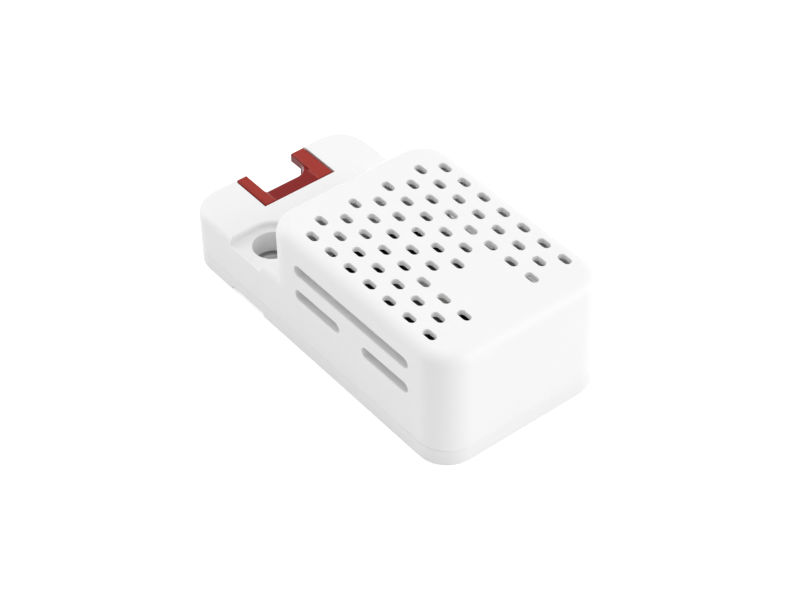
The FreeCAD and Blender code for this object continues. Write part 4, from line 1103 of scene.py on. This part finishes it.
# Nodes whose solids have the right shape, with the rounding of their edges
ROUNDED_NODES = {
    "header_anchor_tabs": 0.03,
    "sensor_substrate": 0.05,
    "infrared_emitter": 0.08,
    "microphone_capsule": 0.12,
    "sensor_control_chip": 0.04,
    "humidity_sensor_chip": 0.04,
    "supply_capacitors": 0.04,
    "capacitor_terminals": 0.05,
    "pull_up_resistors": 0.03,
    "resistor_terminals": 0.05,
}
SLOT_OF = {part["node"]: part["material_slot"] for part in frame["record"]["subparts"]}


def finish_piece(made, node_name):
    slot_name = SLOT_OF[node_name]
    dress(made, slot_name, FINISHES.get(node_name, FINISHES[slot_name]), node_name)


finish_piece(cut_vents(make_upper_housing()), "upper_housing")
finish_piece(make_lower_cover(), "lower_cover")
finish_piece(lay_rows(make_screw(), "screw_steel", (SCREW[0], 0, 0), 2, 2 * SCREW[1]), "case_screws")
finish_piece(make_circuit_board(), "circuit_board")
finish_piece(make_header_housing(), "header_housing")
finish_piece(lay_rows(make_contact(), "tinned_metal", (0, 0, 0), 4, CONTACT_PITCH), "header_contacts")
finish_piece(make_sensor_cap(), "sensor_cap")
finish_piece(make_membrane(), "sensor_membrane")
finish_piece(
    lay_rows(make_land(), "solder", (SENSOR_X, 0, 0), 5, LAND_PITCH, 4, SENSOR_HALF - LAND_SIDE / 4),
    "sensor_solder_lands",
)
for chip, leads, pitch in CHIPS:
    low, high = (Vector(corner) * 1000 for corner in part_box(chip))
    middle = (low + high) / 2
    lead = make_lead(leads + "_bent", (high.y - low.y) / 2, middle.z)
    lay_rows(lead, "tinned_metal", (middle.x, middle.y, 0), 3, pitch, sides=2, first_turn=90)
    finish_piece(lead, leads)
    finish_piece(make_tapered_chip(chip, chip + "_moulded"), chip)
for node_name, width in ROUNDED_NODES.items():
    finish_piece(softened_copy(node_name, node_name + "_rounded", width), node_name)


# Floor, light and camera


def share_seen(tree):
    """1 for rays that look at the background straight, in a reflection or through something, else 0."""
    rays = add_node(tree, "ShaderNodeLightPath").outputs
    straight = rays["Is Camera Ray"]
    seen = add_node(tree, MATH, {0: straight, 1: rays["Is Glossy Ray"]}, operation="MAXIMUM")
    return add_node(tree, MATH, {0: seen, 1: rays["Is Transmission Ray"]}, operation="MAXIMUM")


def make_floor():
    # White paper, rolled and hung as a sweep: matt and even, and lifted to the photograph's white
    material = bpy.data.materials.new("white_paper_sweep")
    material.use_nodes = True
    tree = material.node_tree
    tree.nodes.clear()
    paper = add_node(tree, "ShaderNodeBsdfDiffuse", {"Color": linear("#F4F4F4")})
    glow = add_node(tree, MATH, {0: share_seen(tree), 1: FLOOR_GLOW}, operation="MULTIPLY")
    light = add_node(tree, "ShaderNodeEmission", {"Color": linear("#FFFFFF"), "Strength": glow})
    both = add_node(tree, "ShaderNodeAddShader", {0: paper, 1: light})
    add_node(tree, "ShaderNodeOutputMaterial", {"Surface": both})
    bpy.ops.mesh.primitive_plane_add(size=6.0, location=(0.0, 0.0, -FLOOR_DROP / 1000))
    floor = bpy.context.object
    floor.name = "studio_floor"
    floor.data.materials.append(material)


def make_world():
    world = bpy.data.worlds.new("studio")
    bpy.context.scene.world = world
    world.use_nodes = True
    tree = world.node_tree
    tree.nodes.clear()
    strength = add_node(tree, "ShaderNodeMapRange", {
        "Value": share_seen(tree), "To Min": SKY_LIGHT, "To Max": SKY_SEEN,
    })
    sky = add_node(tree, "ShaderNodeBackground", {"Color": linear("#FFFFFF"), "Strength": strength})
    add_node(tree, "ShaderNodeOutputWorld", {"Surface": sky})


def make_lamp(name, place, power, side):
    lamp = bpy.data.lights.new(name, "AREA")
    lamp.energy = power
    lamp.size = side
    made = add_object(name, lamp)
    made.location = place
    made.rotation_euler = (-Vector(place)).to_track_quat("-Z", "Y").to_euler()


def make_camera():
    azimuth, elevation, roll = (math.radians(angle) for angle in CAMERA_ANGLES)
    level = math.cos(elevation)
    back = Vector((math.sin(azimuth) * level, -math.cos(azimuth) * level, math.sin(elevation)))
    right = (-back).cross(Vector((0, 0, 1))).normalized()
    up = back.cross(right)
    turned_right = right * math.cos(roll) + up * math.sin(roll)
    turned_up = up * math.cos(roll) - right * math.sin(roll)
    camera = bpy.data.cameras.new("camera")
    camera.sensor_width = 36.0
    camera.lens = CAMERA_LENS
    camera.clip_start = 0.01
    made = add_object("camera", camera)
    axes = Matrix((turned_right, turned_up, back)).transposed().to_4x4()
    made.matrix_world = Matrix.Translation(CAMERA_PLACE) @ axes
    bpy.context.scene.camera = made


make_floor()
make_world()
for lamp in LAMPS:
    make_lamp(*lamp)
make_camera()
bpy.context.scene.view_settings.view_transform = "Standard"
